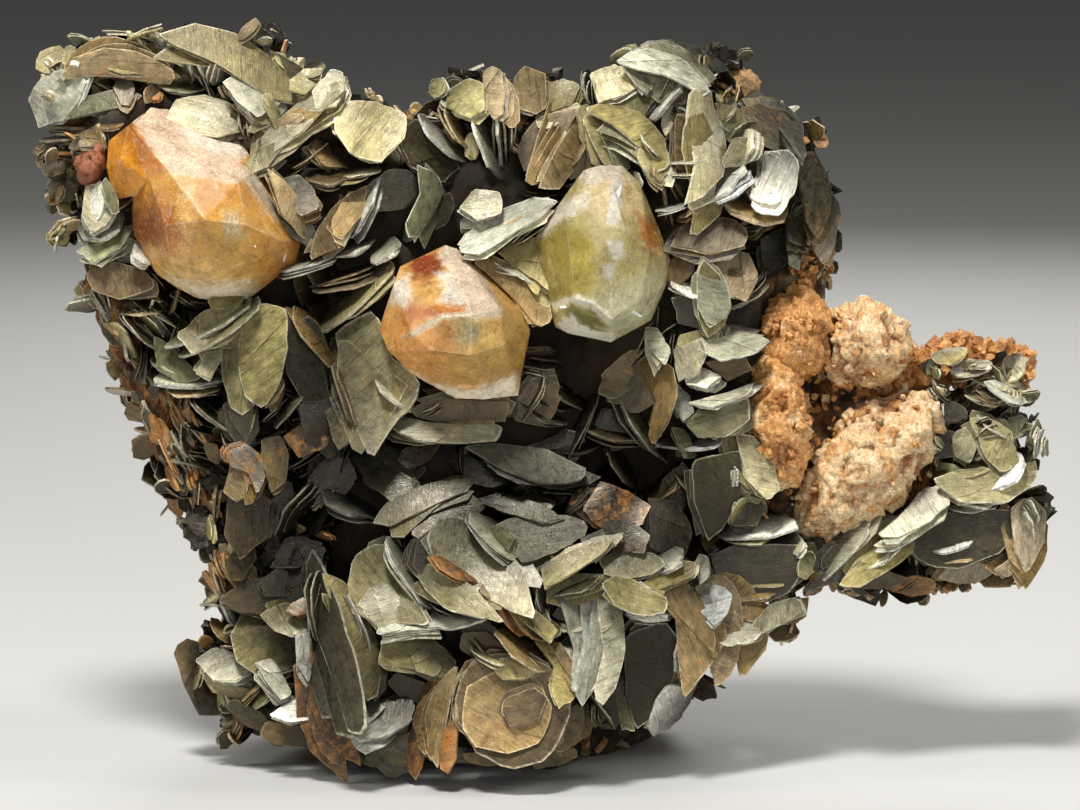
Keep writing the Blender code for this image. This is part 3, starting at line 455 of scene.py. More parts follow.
ROSETTE = (
    Shape(((432, 540), (440, 526), (460, 521), (478, 527), (500, 546), (520, 568), (526, 594),
           (532, 618), (512, 610), (490, 598), (460, 582), (438, 566)), -0.1, 0.45, 5, "olive"),
    Rim(462, 522, 522, 572, 5, 26, 7, 6.5, "silver"),
    Shape(((413, 567), (426, 565), (446, 572), (470, 586), (484, 600), (500, 620), (478, 616),
           (448, 610), (428, 590)), -0.3, 0.5, 9, "olive"),
    Rim(428, 566, 476, 590, 6, 26, 7, 10, "rust"),
    Rim(474, 588, 502, 610, 7, 26, 7, 10.5, "tan"),
    Rim(500, 608, 546, 650, 7, 26, 7, 10.5, "rust"),
    Shape(((484, 588), (510, 594), (536, 612), (556, 628), (548, 640), (520, 620)), 0.1, 0.6, 8,
          "olive"),
    Rim(422, 634, 500, 621, 8, 30, 8, 11, "white"),
    Shape(((490, 532), (512, 520), (540, 517), (566, 518), (583, 524), (584, 537), (561, 548),
           (526, 564), (508, 552)), 0.1, 0.45, 4, "olive"),
    Shape(((488, 530), (500, 524), (514, 536), (508, 550)), -0.3, 0.3, 4.5, "green"),
    Shape(((544, 570), (560, 558), (584, 546), (610, 540), (600, 554), (572, 574), (548, 588)),
          -0.3, 0.5, 7, "moss"),
    Shape(((546, 590), (550, 570), (580, 574), (610, 576), (600, 590), (566, 598)), 0, 0.3, 5,
          "olive"),
    Shape(((602, 560), (620, 552), (650, 554), (664, 564), (652, 574), (626, 578), (606, 574)),
          0.1, 0.6, 6, "green"),
    Shape(((584, 545), (604, 534), (612, 548), (596, 562)), 0, 0.4, 5, "silver"),
    Shape(((603, 586), (616, 578), (630, 580), (664, 600), (662, 612), (640, 616), (616, 604)),
          0.2, 0.5, 10, "olive"),
    Rim(546, 600, 606, 580, 5, 16, 8, 7, "dark"),
    Shape(((642, 586), (660, 572), (678, 561), (694, 563), (692, 576), (674, 584), (654, 592)),
          0.1, 0.5, 9, "moss"),
    Rim(646, 582, 690, 564, 9, 30, 8, 10, "silver"),
    Shape(((650, 592), (664, 584), (684, 584), (700, 604), (708, 622), (713, 644), (708, 668),
           (694, 684), (684, 694), (680, 660), (676, 620)), 0.4, 0.2, 9, "tan"),
    Shape(((700, 598), (706, 586), (722, 588), (731, 596), (726, 614), (714, 624), (702, 612)),
          0.2, 0.5, 9, "white"),
    Shape(((695, 562), (700, 554), (708, 558), (708, 576), (700, 584)), 0, 0.4, 8, "silver"),
    Face(703, 590, 8, 6, 0, 0, 0, 9.5, "dark"),
    Shape(((712, 632), (730, 616), (752, 620), (762, 630), (752, 642), (728, 646), (714, 640)),
          0.2, 0.8, 8, "silver"),
    Rim(714, 646, 756, 640, 5, 24, 7, 8.5, "moss"),
    Rim(551, 600, 602, 584, 6, 22, 9, 8, "dark"),
    Rim(549, 604, 547, 640, 5, 20, 9, 8, "green"),
    Rim(556, 631, 600, 629, 4, 20, 9, 8, "silver"),
    Face(574, 612, 22, 15, 10, 0.1, -0.1, 4, "dark"),
    Shape(((598, 590), (608, 588), (620, 612), (624, 650), (616, 684), (604, 700), (596, 690),
           (604, 650), (600, 620)), 0.5, 0.3, 10, "silver"),
    Shape(((560, 646), (574, 634), (590, 640), (604, 656), (602, 680), (584, 694), (574, 680)),
          -0.1, 0.6, 9, "silver"),
    Shape(((546, 640), (560, 644), (578, 672), (584, 690), (570, 676)), 0.2, 0.6, 10, "tan"),
    Shape(((536, 642), (548, 640), (566, 664), (578, 678), (574, 700), (560, 706), (552, 690),
           (554, 668)), 0.4, 0.5, 9, "moss"),
    Rim(618, 617, 674, 625, 8, 26, 8, 11, "white"),
    Shape(((626, 640), (640, 628), (664, 626), (676, 640), (672, 676), (654, 712), (636, 724),
           (628, 690)), 0.15, -0.1, 8, "dark"),
    Rim(678, 636, 672, 678, 8, -34, 8, 10, "white"),
    Rim(672, 676, 640, 734, 8, -34, 8, 10, "white"),
    Rim(684, 650, 678, 690, 5, -24, 8, 9, "rust"),
    Shape(((456, 700), (464, 676), (486, 660), (518, 656), (548, 672), (566, 700), (562, 736),
           (540, 758), (510, 764), (478, 752), (460, 730)), 0.05, 0.15, 8, "brown"),
    Shape(((464, 722), (470, 690), (500, 672), (534, 680), (548, 708), (540, 740), (508, 750),
           (478, 744)), 0.05, 0.25, 9, "tan"),
    Face(524, 706, 26, 20, 20, 0.1, 0.2, 10, "brown"),
    Face(516, 668, 24, 12, 0, 0.1, 0.2, 8, "olive"),
    Rim(470, 640, 500, 668, 5, 14, 8, 8, "brown"),
    Rim(490, 638, 552, 684, 6, 22, 8, 11, "tan"),
    Rim(468, 655, 516, 670, 5, 18, 8, 10, "olive"),
    Face(480, 646, 26, 14, -20, 0, -0.2, 5, "brown"),
    Shape(((425, 722), (432, 700), (444, 680), (456, 668), (454, 690), (444, 720), (438, 744),
           (438, 764), (430, 750)), -0.6, 0.2, 11, "tan"),
    Shape(((440, 764), (442, 736), (452, 700), (464, 672), (466, 690), (458, 724), (456, 756),
           (448, 770)), -0.5, 0.1, 11, "rust"),
    Rim(437, 748, 456, 676, 5, -24, 8, 12, "dark"),
    Shape(((544, 742), (560, 716), (576, 706), (584, 716), (578, 736), (560, 752)), 0.3, 0.1, 8,
          "brown"),
    Shape(((564, 740), (584, 718), (596, 720), (588, 734), (566, 750)), 0.3, -0.1, 7, "tan"),
    Rim(580, 690, 584, 726, 4, 16, 8, 7, "olive"),
    Rim(596, 700, 600, 728, 4, 16, 8, 6, "olive"),
    Face(604, 704, 22, 12, 70, 0.1, -0.1, 5, "brown"),
    Shape(((614, 690), (624, 680), (630, 708), (634, 730), (622, 728)), 0.2, 0.1, 7, "olive"),
    Rim(526, 560, 540, 614, 6, 20, 8, 7, "dark"),
    Rim(532, 566, 544, 622, 4, 20, 8, 7.5, "silver"),
    Face(500, 758, 40, 8, 0, 0, -0.2, 6, "tan"),
    Face(470, 756, 26, 8, -10, 0, -0.3, 5, "brown"),
    Face(556, 758, 24, 8, 16, 0.1, -0.3, 5, "tan"),
)
RIGHT_LOW = (
    Rim(709, 543, 801, 535, 8, 24, 9, 9, "white"),
    Rim(720, 548, 780, 544, 4, 20, 9, 8, "moss"),
    Shape(((716, 556), (740, 546), (800, 548), (804, 574), (784, 592), (760, 602), (736, 598),
           (720, 584)), 0, 0.05, 6, "dark"),
    Rim(722, 590, 802, 582, 5, 20, 9, 7, "olive"),
    Rim(724, 600, 784, 596, 5, 20, 9, 6.5, "tan"),
    Rim(796, 560, 808, 544, 6, 24, 8, 8, "silver"),
    Face(806, 566, 14, 8, 70, 0.4, 0.2, 7, "green"),
    Shape(((712, 634), (722, 616), (740, 610), (766, 622), (760, 640), (734, 646)), 0.2, 0.5, 6,
          "silver"),
    Shape(((752, 626), (770, 606), (796, 598), (802, 610), (784, 622), (764, 632)), 0.3, 0.3, 6,
          "silver"),
    Shape(((726, 606), (752, 600), (770, 606), (752, 622), (734, 616)), 0.1, 0.5, 5, "tan"),
    Shape(((806, 590), (824, 572), (846, 560), (872, 548), (864, 562), (836, 582)), 0, 0.1, 3,
          "dark"),
    Rim(826, 586, 880, 519, 8, 28, 8, 8, "silver"),
    Shape(((881, 536), (906, 510), (930, 490), (944, 486), (948, 504), (930, 520), (900, 536)),
          -0.1, 0.7, 8, "silver"),
    Shape(((842, 584), (858, 560), (884, 542), (912, 532), (912, 550), (896, 564), (862, 584)),
          0, 0.5, 7, "moss"),
    Rim(848, 588, 914, 548, 7, 30, 8, 9, "silver"),
    Shape(((910, 545), (920, 520), (950, 512), (1012, 512), (1014, 530), (996, 552), (960, 566),
           (928, 564)), 0.1, 0.05, 6, "dark"),
    Rim(930, 556, 978, 548, 8, 32, 7, 8, "white"),
    Rim(924, 566, 990, 560, 5, 22, 8, 7, "tan"),
    Rim(946, 502, 1010, 508, 7, 24, 8, 7, "silver"),
    Shape(((936, 480), (962, 470), (1004, 470), (1034, 462), (1030, 486), (1004, 502), (964, 500)),
          0.2, 0.5, 6, "olive"),
    Rim(985, 500, 1034, 466, 10, 32, 8, 8, "white"),
    Rim(936, 484, 996, 470, 4, 18, 8, 7, "moss"),
    Shape(((1012, 508), (1030, 500), (1044, 514), (1042, 544), (1026, 570), (1016, 550)),
          0.7, 0.2, 4, "tan"),
    Rim(1024, 504, 1040, 546, 6, -26, 8, 6, "silver"),
    Rim(1030, 496, 1044, 526, 5, -26, 8, 5, "silver"),
    Shape(((996, 570), (1014, 556), (1034, 548), (1030, 562), (1008, 576)), 0.4, -0.1, 4, "tan"),
    Rim(934, 368, 972, 356, 5, 26, 6, 5, "moss"),
    Rim(950, 376, 998, 372, 5, 24, 6, 5, "olive"),
    Rim(968, 384, 1026, 390, 5, 26, 6, 6, "moss"),
    Rim(958, 396, 1010, 404, 5, 22, 6, 5, "olive"),
    Face(1004, 392, 20, 9, -30, 0.3, 0.5, 6, "silver"),
    Shape(((971, 420), (990, 420), (1010, 432), (1018, 462), (1002, 470), (986, 456)), 0.2, 0.4, 4,
          "olive"),
    Rim(974, 418, 1014, 444, 5, 22, 7, 6, "silver"),
    Shape(((952, 436), (966, 428), (976, 446), (970, 462), (956, 456)), -0.3, 0.3, 4, "green"),
    Face(950, 412, 18, 12, 0, 0, 0, 1, "dark"),
    Face(946, 444, 16, 16, 0, 0, 0, 0, "dark"),
    Face(1010, 424, 18, 12, 0, 0.3, 0.1, 2, "dark"),
    Face(836, 556, 20, 10, 40, 0.1, 0, 3, "dark"),
    Face(966, 572, 30, 10, 10, 0.1, -0.3, 3, "tan"),
    Face(880, 580, 22, 10, 0, 0, -0.4, 3, "brown"),
    Face(910, 586, 26, 9, 0, 0, -0.4, 2, "rust"),
    Rim(1004, 388, 1036, 362, 6, 24, 8, 4, "moss"),
)
READ_BOOKS = (TOP_LEFT + UPPER_INNER + TOP_BAND + RIGHT_SIDE + CENTRE + LEFT_SIDE + LOWER_LEFT
              + ROSETTE + RIGHT_LOW)

# Fans of books that fill the gaps: their area in the picture, how many fans, half size in pixels,
# spread of the lean to the right and up, depth behind the front, share seen from the edge, how
# crinkled, and finishes
Fill = namedtuple("Fill", "corners count pixels right up back edgewise wave looks")
FILLS = (
    Fill(((60, 70), (160, 40), (250, 55), (330, 80), (410, 110), (450, 105), (550, 75), (650, 60),
          (710, 90), (800, 130), (825, 190), (810, 290), (760, 300), (600, 300), (400, 260),
          (320, 250), (120, 250), (60, 180)), 66, (20, 38), (-0.7, 0.9), (-0.3, 0.8), (2, 6), 0.4,
         1.0, ("olive", "green", "brown", "green", "tan")),
    # mostly the dark finish here: painted shade in the gaps of the middle
    Fill(((110, 260), (320, 260), (560, 280), (760, 300), (760, 500), (700, 560), (560, 560),
          (420, 540), (310, 560), (230, 560), (180, 450)), 58, (22, 46), (-0.8, 0.8),
         (-0.4, 0.6), (2, 7), 0.5, 1.0, ("dark", "dark", "dark", "brown", "green")),
    Fill(((215, 600), (330, 570), (430, 540), (560, 520), (700, 560), (740, 640), (660, 720),
          (520, 765), (380, 750), (260, 710), (210, 660)), 50, (20, 40), (-0.8, 0.8), (-0.4, 0.7),
         (2, 7), 0.35, 1.0, ("olive", "green", "tan", "brown", "olive")),
    Fill(((700, 540), (800, 530), (840, 540), (930, 500), (1035, 470), (1040, 540), (990, 575),
          (900, 590), (800, 600), (730, 640)), 26, (16, 30), (-0.6, 0.6), (-0.4, 0.5), (2, 6), 0.5,
         1.0, ("olive", "green", "dark", "tan")),
    Fill(((928, 356), (1024, 362), (1034, 400), (1034, 450), (1020, 480), (936, 480)), 62, (6, 15),
         (-0.9, 0.9), (-0.3, 0.9), (-2, 3), 0.6, 3.0, ("green", "dark", "olive", "brown", "moss")),
    Fill(((84, 180), (120, 220), (176, 296), (190, 420), (150, 400), (92, 300)), 20, (12, 26),
         (-0.8, 0.2), (-0.3, 0.6), (1, 5), 0.5, 1.0, ("olive", "green", "brown", "tan")),
    Fill(((86, 96), (134, 92), (126, 128), (100, 150), (84, 168)), 9, (12, 22), (-0.5, 0.3),
         (0.2, 0.9), (-1, 2), 0.7, 1.0, ("tan", "brown", "brown")),
    Fill(((176, 296), (232, 306), (250, 330), (200, 350), (172, 330)), 8, (14, 26), (-0.3, 0.3),
         (0.2, 0.8), (1, 5), 0.3, 1.0, ("olive", "dark", "brown")),
)

# A fan: how many books, how far forward it is set, how much its lean is raised, how far apart its
# books are, how they nod and rock from one to the next, and how often the finish changes
FAN_BOOKS = (3, 5)
FAN_FORWARD_MM = 0.5
FAN_LEAN = 1.6
FAN_STEP = (0.12, 0.30)
FAN_NOD = 0.22
FAN_ROCK = 0.10
FAN_CHANGE = 0.25

# Small crusts along the outline: a run of pixels, how many, half size in pixels, spread in
# pixels, range of depths, and finishes. Then how unevenly they lie and how high, by their size
Crust = namedtuple("Crust", "line count pixels spread depth looks")
CRUST_UNEVEN = 0.9
CRUST_LIFT = 0.15
CRUSTS = (
    Crust(((84, 48), (120, 43), (165, 44), (190, 36)), 24, (6, 14), 7, (0, 6),
          ("silver", "olive", "moss")),
    Crust(((36, 100), (50, 74), (84, 52)), 16, (5, 10), 6, (0, 7), ("olive", "silver")),
    Crust(((34, 130), (40, 165), (58, 190), (78, 204)), 18, (5, 11), 7, (0, 7), ("tan", "brown")),
    Crust(((250, 58), (300, 78), (330, 72), (352, 88)), 26, (7, 15), 8, (0, 6), ("moss", "olive")),
    Crust(((352, 92), (378, 96), (412, 106), (440, 106)), 30, (4, 9), 7, (-1, 6), ("rust", "tan")),
    Crust(((210, 650), (235, 700), (280, 728), (340, 752)), 40, (5, 11), 8, (-6, 2),
          ("rust", "tan", "brown")),
    Crust(((560, 755), (620, 735), (676, 702)), 38, (5, 11), 7, (-8, 2),
          ("rust", "tan", "brown")),
    Crust(((800, 600), (860, 588), (905, 590), (960, 580), (1010, 568)), 60, (5, 12), 8, (-2, 6),
          ("rust", "brown", "tan")),
    Crust(((930, 349), (965, 342), (1000, 348), (1028, 360)), 26, (5, 10), 7, (0, 7),
          ("rust", "moss", "tan")),
    Crust(((786, 262), (806, 254), (818, 262), (804, 286), (794, 300)), 26, (5, 11), 8, (1, 8),
          ("tan", "rust", "brown")),
    Crust(((796, 160), (820, 184), (822, 215), (808, 240)), 20, (5, 10), 6, (1, 8),
          ("olive", "tan")),
)

# Splinters of the stained band down the left side: the band, its run, their count, half length,
# how unevenly they lie along and across it, and finishes
BAND = ((84, 284), (112, 290), (150, 330), (180, 400), (215, 440), (262, 470), (262, 560),
        (225, 612), (200, 600), (176, 505), (140, 440), (98, 345))
BAND_RUN = (130.0, 315.0)
BAND_COUNT = 230
BAND_PIXELS = (7, 24)
BAND_UNEVEN = (0.16, 0.8)
BAND_LOOKS = ("rust", "rust", "rust", "brown", "dark", "dark")

# Flakes set in the sides, top and back of the rock, and of each mica solid with a dark heart: how
# many are tried, least height, lean from which a face counts as front, back or underside, share
# left out at the back, half sizes, how unevenly they lie, finishes, and on a dark heart how deep
# they are sunk and how far they may stand in front of it
ROCK_BOOKS = 740
CORE_BOOKS = 62
SIDE_LEAST_HEIGHT_MM = 3.0
SIDE_LEAN = 0.45
SIDE_UNDER = -0.75
BACK_LEFT_OUT = 0.45
BACK_SIZE_MM = (1.2, 3.4)
SIDE_SIZE_MM = (1.4, 3.6)
BACK_UNEVEN = 0.5
SIDE_UNEVEN = 1.1
SIDE_LOOKS = ("brown", "tan", "olive", "rust", "dark", "green")
CORE_BOOKS_SINK_MM = 2.3
CORE_BOOKS_OUT_MM = 1.0

# Mica solids with a dark heart behind their books, painted near black as the shade in the gaps: the
# grid it is meshed on, how far it lies behind the front, how much thinner it is than the solid, its
# colour, stain and least height
CORE_NODES = ("mica_arm_end", "mica_left_edge", "mica_crest_left", "mica_top_left",
              "mica_top_centre", "mica_top_right", "mica_right_edge", "mica_left_low",
              "mica_lower_left", "mica_right_low")
CORE_VOXEL_MM = 1.1
CORE_BEHIND_MM = 3.6
CORE_SINK_MM = 2.6
CORE_SHADE_TINT = np.array((0.050, 0.040, 0.022))
CORE_STAIN = 0.2
CORE_LEAST_HEIGHT_MM = 0.5


# Lines of sight
def sight(u, v):
    """The line of sight through a pixel, as a step that goes one millimetre deep."""
    side = (u - PHOTO_WIDTH / 2) * PIXEL_MM / CAMERA_MM
    rise = (PHOTO_HEIGHT / 2 - v) * PIXEL_MM / CAMERA_MM
    return FORWARD + RIGHT * side + UP * rise


def at_depth(u, v, y):
    """The point that a pixel shows at that y."""
    way = sight(u, v)
    return EYE + way * ((y - EYE[1]) / way[1])


def on_plane(u, v, point, normal):
    """The point that a pixel shows on a plane."""
    way = sight(u, v)
    return EYE + way * (np.dot(point - EYE, normal) / np.dot(way, normal))


def pixels_of(points):
    """The pixels at which points are seen, as an array of u and v."""
    offset = points - EYE
    deep = offset @ FORWARD
    scale = CAMERA_MM / (PIXEL_MM * deep)
    u = PHOTO_WIDTH / 2 + (offset @ RIGHT) * scale
    v = PHOTO_HEIGHT / 2 - (offset @ UP) * scale
    return np.stack((u, v), axis=1)


def unit(vector):
    return vector / np.linalg.norm(vector)


def inside(u, v, corners):
    """Whether a pixel is inside an outline."""
    found = False
    last = corners[-1]
    for corner in corners:
        if (corner[1] > v) != (last[1] > v):
            across = (last[0] - corner[0]) * (v - corner[1]) / (last[1] - corner[1]) + corner[0]
            if u < across:
                found = not found
        last = corner
    return found


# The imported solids, in millimetres
def tree_of(*names):
    """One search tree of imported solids."""
    points = []
    faces = []
    for name in names:
        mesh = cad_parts[name].data
        start = len(points)
        points += [tuple(vert.co / MM) for vert in mesh.vertices]
        faces += [tuple(start + index for index in face.vertices) for face in mesh.polygons]
    return BVHTree.FromPolygons(points, faces)


CRYSTALS = ("fluorite_upper_left", "fluorite_centre", "fluorite_upper_right")
FELDSPARS = [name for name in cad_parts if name.startswith("feldspar")]
ROCK_TREE = tree_of("matrix_rock")
FELDSPAR_TREE = tree_of(*FELDSPARS, "matrix_rock")
ALL_TREE = tree_of(*(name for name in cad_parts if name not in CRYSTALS))
CRYSTAL_TREES = [tree_of(name) for name in CRYSTALS]
MICA_NODES = sorted(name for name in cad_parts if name.startswith("mica_"))
MICA_BOXES = {name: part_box(name) for name in MICA_NODES}
BOX_SHARE = 0.6


def within(point, tree, margin):
    """Whether a point is inside a solid or nearer to it than the margin."""
    near, normal, _, distance = tree.find_nearest(Vector(point))
    if distance < margin:
        return True
    return (Vector(point) - near).dot(normal) < 0


def seen_on(tree, u, v):
    """The point of a solid that a pixel shows and the way out of it there, or None for both."""
    return tree.ray_cast(Vector(EYE), Vector(unit(sight(u, v))))[:2]


def front_depth(u, v):
    """The y of the mica's front at a pixel."""
    total = 0.0
    weight = 0.0
    for spot_u, spot_v, spot_y in FRONT:
        gap = (spot_u - u) ** 2 + (spot_v - v) ** 2 + FRONT_BLUR_PIXELS ** 2
        share = 1.0 / gap ** FRONT_FALLOFF
        total += share * spot_y
        weight += share
    depth = total / weight
    rock, _ = seen_on(ROCK_TREE, u, v)
    return depth if rock is None else min(depth, rock.y - ROCK_COVER_MM)


def box_gap(name, point):
    """The square of how far a point is from the inner share of a mica solid's box."""
    low, high = MICA_BOXES[name]
    gap = 0.0
    for axis in range(3):
        middle = (low[axis] + high[axis]) / (2 * MM)
        half = (high[axis] - low[axis]) / (2 * MM)
        gap += max(0.0, abs(point[axis] - middle) - half * BOX_SHARE) ** 2
    return gap


def nearest_node(point):
    """The mica solid that a book at a point belongs to."""
    return min(MICA_NODES, key=lambda name: box_gap(name, point))


# Meshes that are joined as they are made, none of them below the floor
LEAST_HEIGHT_MM = 0.02


class Pile:
    """Books or blocks for one mesh, with colour, place of the grain, marks and share of painted
    shade by point.
    """

    def __init__(self):
        self.points = []
        self.faces = []
        self.tint = []
        self.grain = []
        self.marks = []
        self.deep = []
        self.count = 0

    def add(self, points, faces, tint, grain, marks, deep=0.0):
        quads, triangles = faces
        self.points.append(points)
        self.faces.extend((quads + self.count).tolist())
        self.faces.extend((triangles + self.count).tolist())
        self.tint.append(tint)
        self.grain.append(grain)
        self.marks.append(marks)
        self.deep.append(np.full(len(points), deep))
        self.count += len(points)

    def make(self, name, sharp_deg=38.0, shades=None):
        """The pile as one object, in metres, darker with painted shade where points lie deep
        between the books.
        """
        mesh = bpy.data.meshes.new(name)
        points = np.concatenate(self.points)
        points[:, 2] = np.maximum(points[:, 2], LEAST_HEIGHT_MM)
        mesh.from_pydata((points * MM).tolist(), [], self.faces)
        tint = np.concatenate(self.tint)
        if shades is not None:
            tint = tint * shades.level(points, np.concatenate(self.deep))[:, None]
        put_colour(mesh, "tint", tint)
        put_vector(mesh, "grain", np.concatenate(self.grain))
        put_vector(mesh, "marks", np.concatenate(self.marks))
        mesh.shade_smooth()
        mesh.set_sharp_from_angle(angle=math.radians(sharp_deg))
        made = bpy.data.objects.new(name, mesh)
        bpy.context.scene.collection.objects.link(made)
        return made


# Painted shade between the books: how much darker each millimetre behind the front makes a point,
# from which depth on, the least level, and the depth behind which the rock is light again, over how
# far and how much
DEPTH_SHADE_PER_MM = 0.150
DEPTH_SHADE_FREE_MM = 1.3
DEPTH_SHADE_LEAST = 0.08
DEPTH_SHADE_END_MM = 16.0
DEPTH_SHADE_FADE_MM = 8.0
DEPTH_SHADE_LIFT = 0.8

# The hollow in the middle, painted darkest as shade, as an outline in the picture
SHADED_HOLLOW = ((250, 390), (320, 300), (390, 420), (460, 440), (560, 420), (620, 380), (690, 430),
          (700, 520), (600, 560), (430, 520), (330, 560), (240, 600), (210, 560), (250, 480))
SHADED_HOLLOW_FADE = 60
SHADED_HOLLOW_DARK = 0.88


class DepthShade:
    """Painted shade between the books: darker, the deeper a point lies behind what stands round it.
    """

    CELL = 1.5
    LOW = (-82.0, -4.0)
    SIZE = (112, 82)
    FAR = 40.0
    WIDEN = 3
    SOFTEN = 4

    def __init__(self, points):
        front = np.full(self.SIZE, self.FAR)
        column, row = self.cells(points)
        np.minimum.at(front, (column, row), points[:, 1])
        for _ in range(self.WIDEN):
            front = np.minimum.reduce(self.moved(front))
        for _ in range(self.SOFTEN):
            front = np.mean(self.moved(front), axis=0)
        self.front = front

    @staticmethod
    def moved(front):
        """The grid nine times, moved by up to one cell each way."""
        return [np.roll(np.roll(front, i, 0), j, 1) for i in (-1, 0, 1) for j in (-1, 0, 1)]

    def cells(self, points):
        column = ((points[:, 0] - self.LOW[0]) / self.CELL).astype(int)
        row = ((points[:, 2] - self.LOW[1]) / self.CELL).astype(int)
        return np.clip(column, 0, self.SIZE[0] - 1), np.clip(row, 0, self.SIZE[1] - 1)

    def level(self, points, deep):
        column, row = self.cells(points)
        # painted shade: the deeper a point lies behind the front round it, the darker
        behind = points[:, 1] - self.front[column, row]
        level = np.clip(1.0 - DEPTH_SHADE_PER_MM * (behind - DEPTH_SHADE_FREE_MM), DEPTH_SHADE_LEAST, 1.0)
        level = level + (1 - level) * np.clip((behind - DEPTH_SHADE_END_MM) / DEPTH_SHADE_FADE_MM, 0, DEPTH_SHADE_LIFT)
        # painted shade in the hollow in the middle
        level = level * (1 - SHADED_HOLLOW_DARK * soft_zone(pixels_of(points), SHADED_HOLLOW, SHADED_HOLLOW_FADE))
        return 1 - deep * (1 - level)


def put_colour(mesh, name, values):
    layer = mesh.attributes.new(name, "FLOAT_COLOR", "POINT")
    full = np.ones((len(values), 4), np.float32)
    full[:, :3] = values
    layer.data.foreach_set("color", full.ravel())


def put_vector(mesh, name, values):
    layer = mesh.attributes.new(name, "FLOAT_VECTOR", "POINT")
    layer.data.foreach_set("vector", np.asarray(values, np.float32).ravel())


# Books of mica
RING_FACES = {}


def ring_faces(count, rings):
    """The quads that join rings of points, and the triangles that close both ends."""
    key = (count, rings)
    if key in RING_FACES:
        return RING_FACES[key]
    here = np.arange(count)
    after = (here + 1) % count
    quads = []
    for ring in range(rings - 1):
        low = ring * count
        high = low + count
        quads.append(np.stack((low + here, low + after, high + after, high + here), 1))
    bottom = rings * count
    last = (rings - 1) * count
    triangles = (np.stack((np.full(count, bottom), after, here), 1),
                 np.stack((np.full(count, bottom + 1), last + here, last + after), 1))
    RING_FACES[key] = (np.concatenate(quads), np.concatenate(triangles))
    return RING_FACES[key]


def loop_noise(rng, count, amount, waves):
    """Smooth random heights round a closed loop."""
    turn = np.linspace(0, 2 * math.pi, count, endpoint=False)
    total = np.zeros(count)
    for wave in waves:
        total += rng.normal() / wave ** 0.5 * np.sin(wave * turn + rng.uniform(0, 2 * math.pi))
    return amount * total


def resampled(corners, count, soften=1):
    """An outline with that many points, evenly spaced, its corners slightly rounded."""
    corners = np.asarray(corners, float)
    closed = np.vstack((corners, corners[:1]))
    lengths = np.linalg.norm(np.diff(closed, axis=0), axis=1)
    along = np.concatenate(((0.0,), np.cumsum(lengths)))
    wanted = np.linspace(0, along[-1], count, endpoint=False)
    outline = np.stack((np.interp(wanted, along, closed[:, 0]),
                        np.interp(wanted, along, closed[:, 1])), 1)
    for _ in range(soften):
        outline = (np.roll(outline, 1, 0) + 2 * outline + np.roll(outline, -1, 0)) / 4
    return outline


def counterclockwise(outline):
    """The outline, turned round where it runs clockwise."""
    after = np.roll(outline, -1, 0)
    area = np.sum(outline[:, 0] * after[:, 1] - after[:, 0] * outline[:, 1])
    return outline if area > 0 else outline[::-1]


def leaf(rng, half_long, half_short, sides=6):
    """Corners of an irregular leaf, mostly six-sided as mica is."""
    angles = (np.arange(sides) + rng.uniform(-0.24, 0.24, sides)) * 2 * math.pi / sides
    angles = angles + rng.uniform(0, 2 * math.pi)
    reach = rng.uniform(0.84, 1.1, sides)
    return np.stack((np.cos(angles) * reach * half_long, np.sin(angles) * reach * half_short), 1)


def cut_leaf(outline, rng):
    """The part of an outline on one side of a random straight break."""
    middle = outline.mean(0)
    spread = np.abs(outline - middle).max()
    angle = rng.uniform(0, 2 * math.pi)
    way = np.array((math.cos(angle), math.sin(angle)))
    limit = spread * rng.uniform(-0.35, 0.55)
    side = (outline - middle) @ way - limit
    kept = []
    for index, corner in enumerate(outline):
        here = side[index]
        after = side[(index + 1) % len(outline)]
        if here < 0:
            kept.append(corner)
        if (here < 0) != (after < 0):
            share = here / (here - after)
            kept.append(corner + (outline[(index + 1) % len(outline)] - corner) * share)
    return np.array(kept) if len(kept) >= 5 else outline


def broken(outline, rng, rough):
    """An outline with waves, fine teeth and a few notches."""
    count = len(outline)
    middle = outline.mean(0)
    scale = 1 + loop_noise(rng, count, 0.011 * rough, (3, 5, 8, 13))
    scale += rng.normal(0, 0.007 * rough, count)
    for _ in range(int(rng.integers(1, 5))):
        start = int(rng.integers(0, count))
        wide = int(rng.integers(1, 4))
        depth = rng.uniform(0.02, 0.09) * rough
        scale[np.arange(start, start + wide) % count] -= depth
    return middle + (outline - middle) * scale[:, None]


# A leaf: share of its outline where its face begins, how uneven its edge is, the range of its fade,
# which is partly painted shade, and the reach over which its grain is taken from anywhere
RIM_SHARE = 0.955
TOOTH_SHARE = 0.006
FADE_RANGE = (0.2, 1.8)
GRAIN_REACH_MM = 40.0


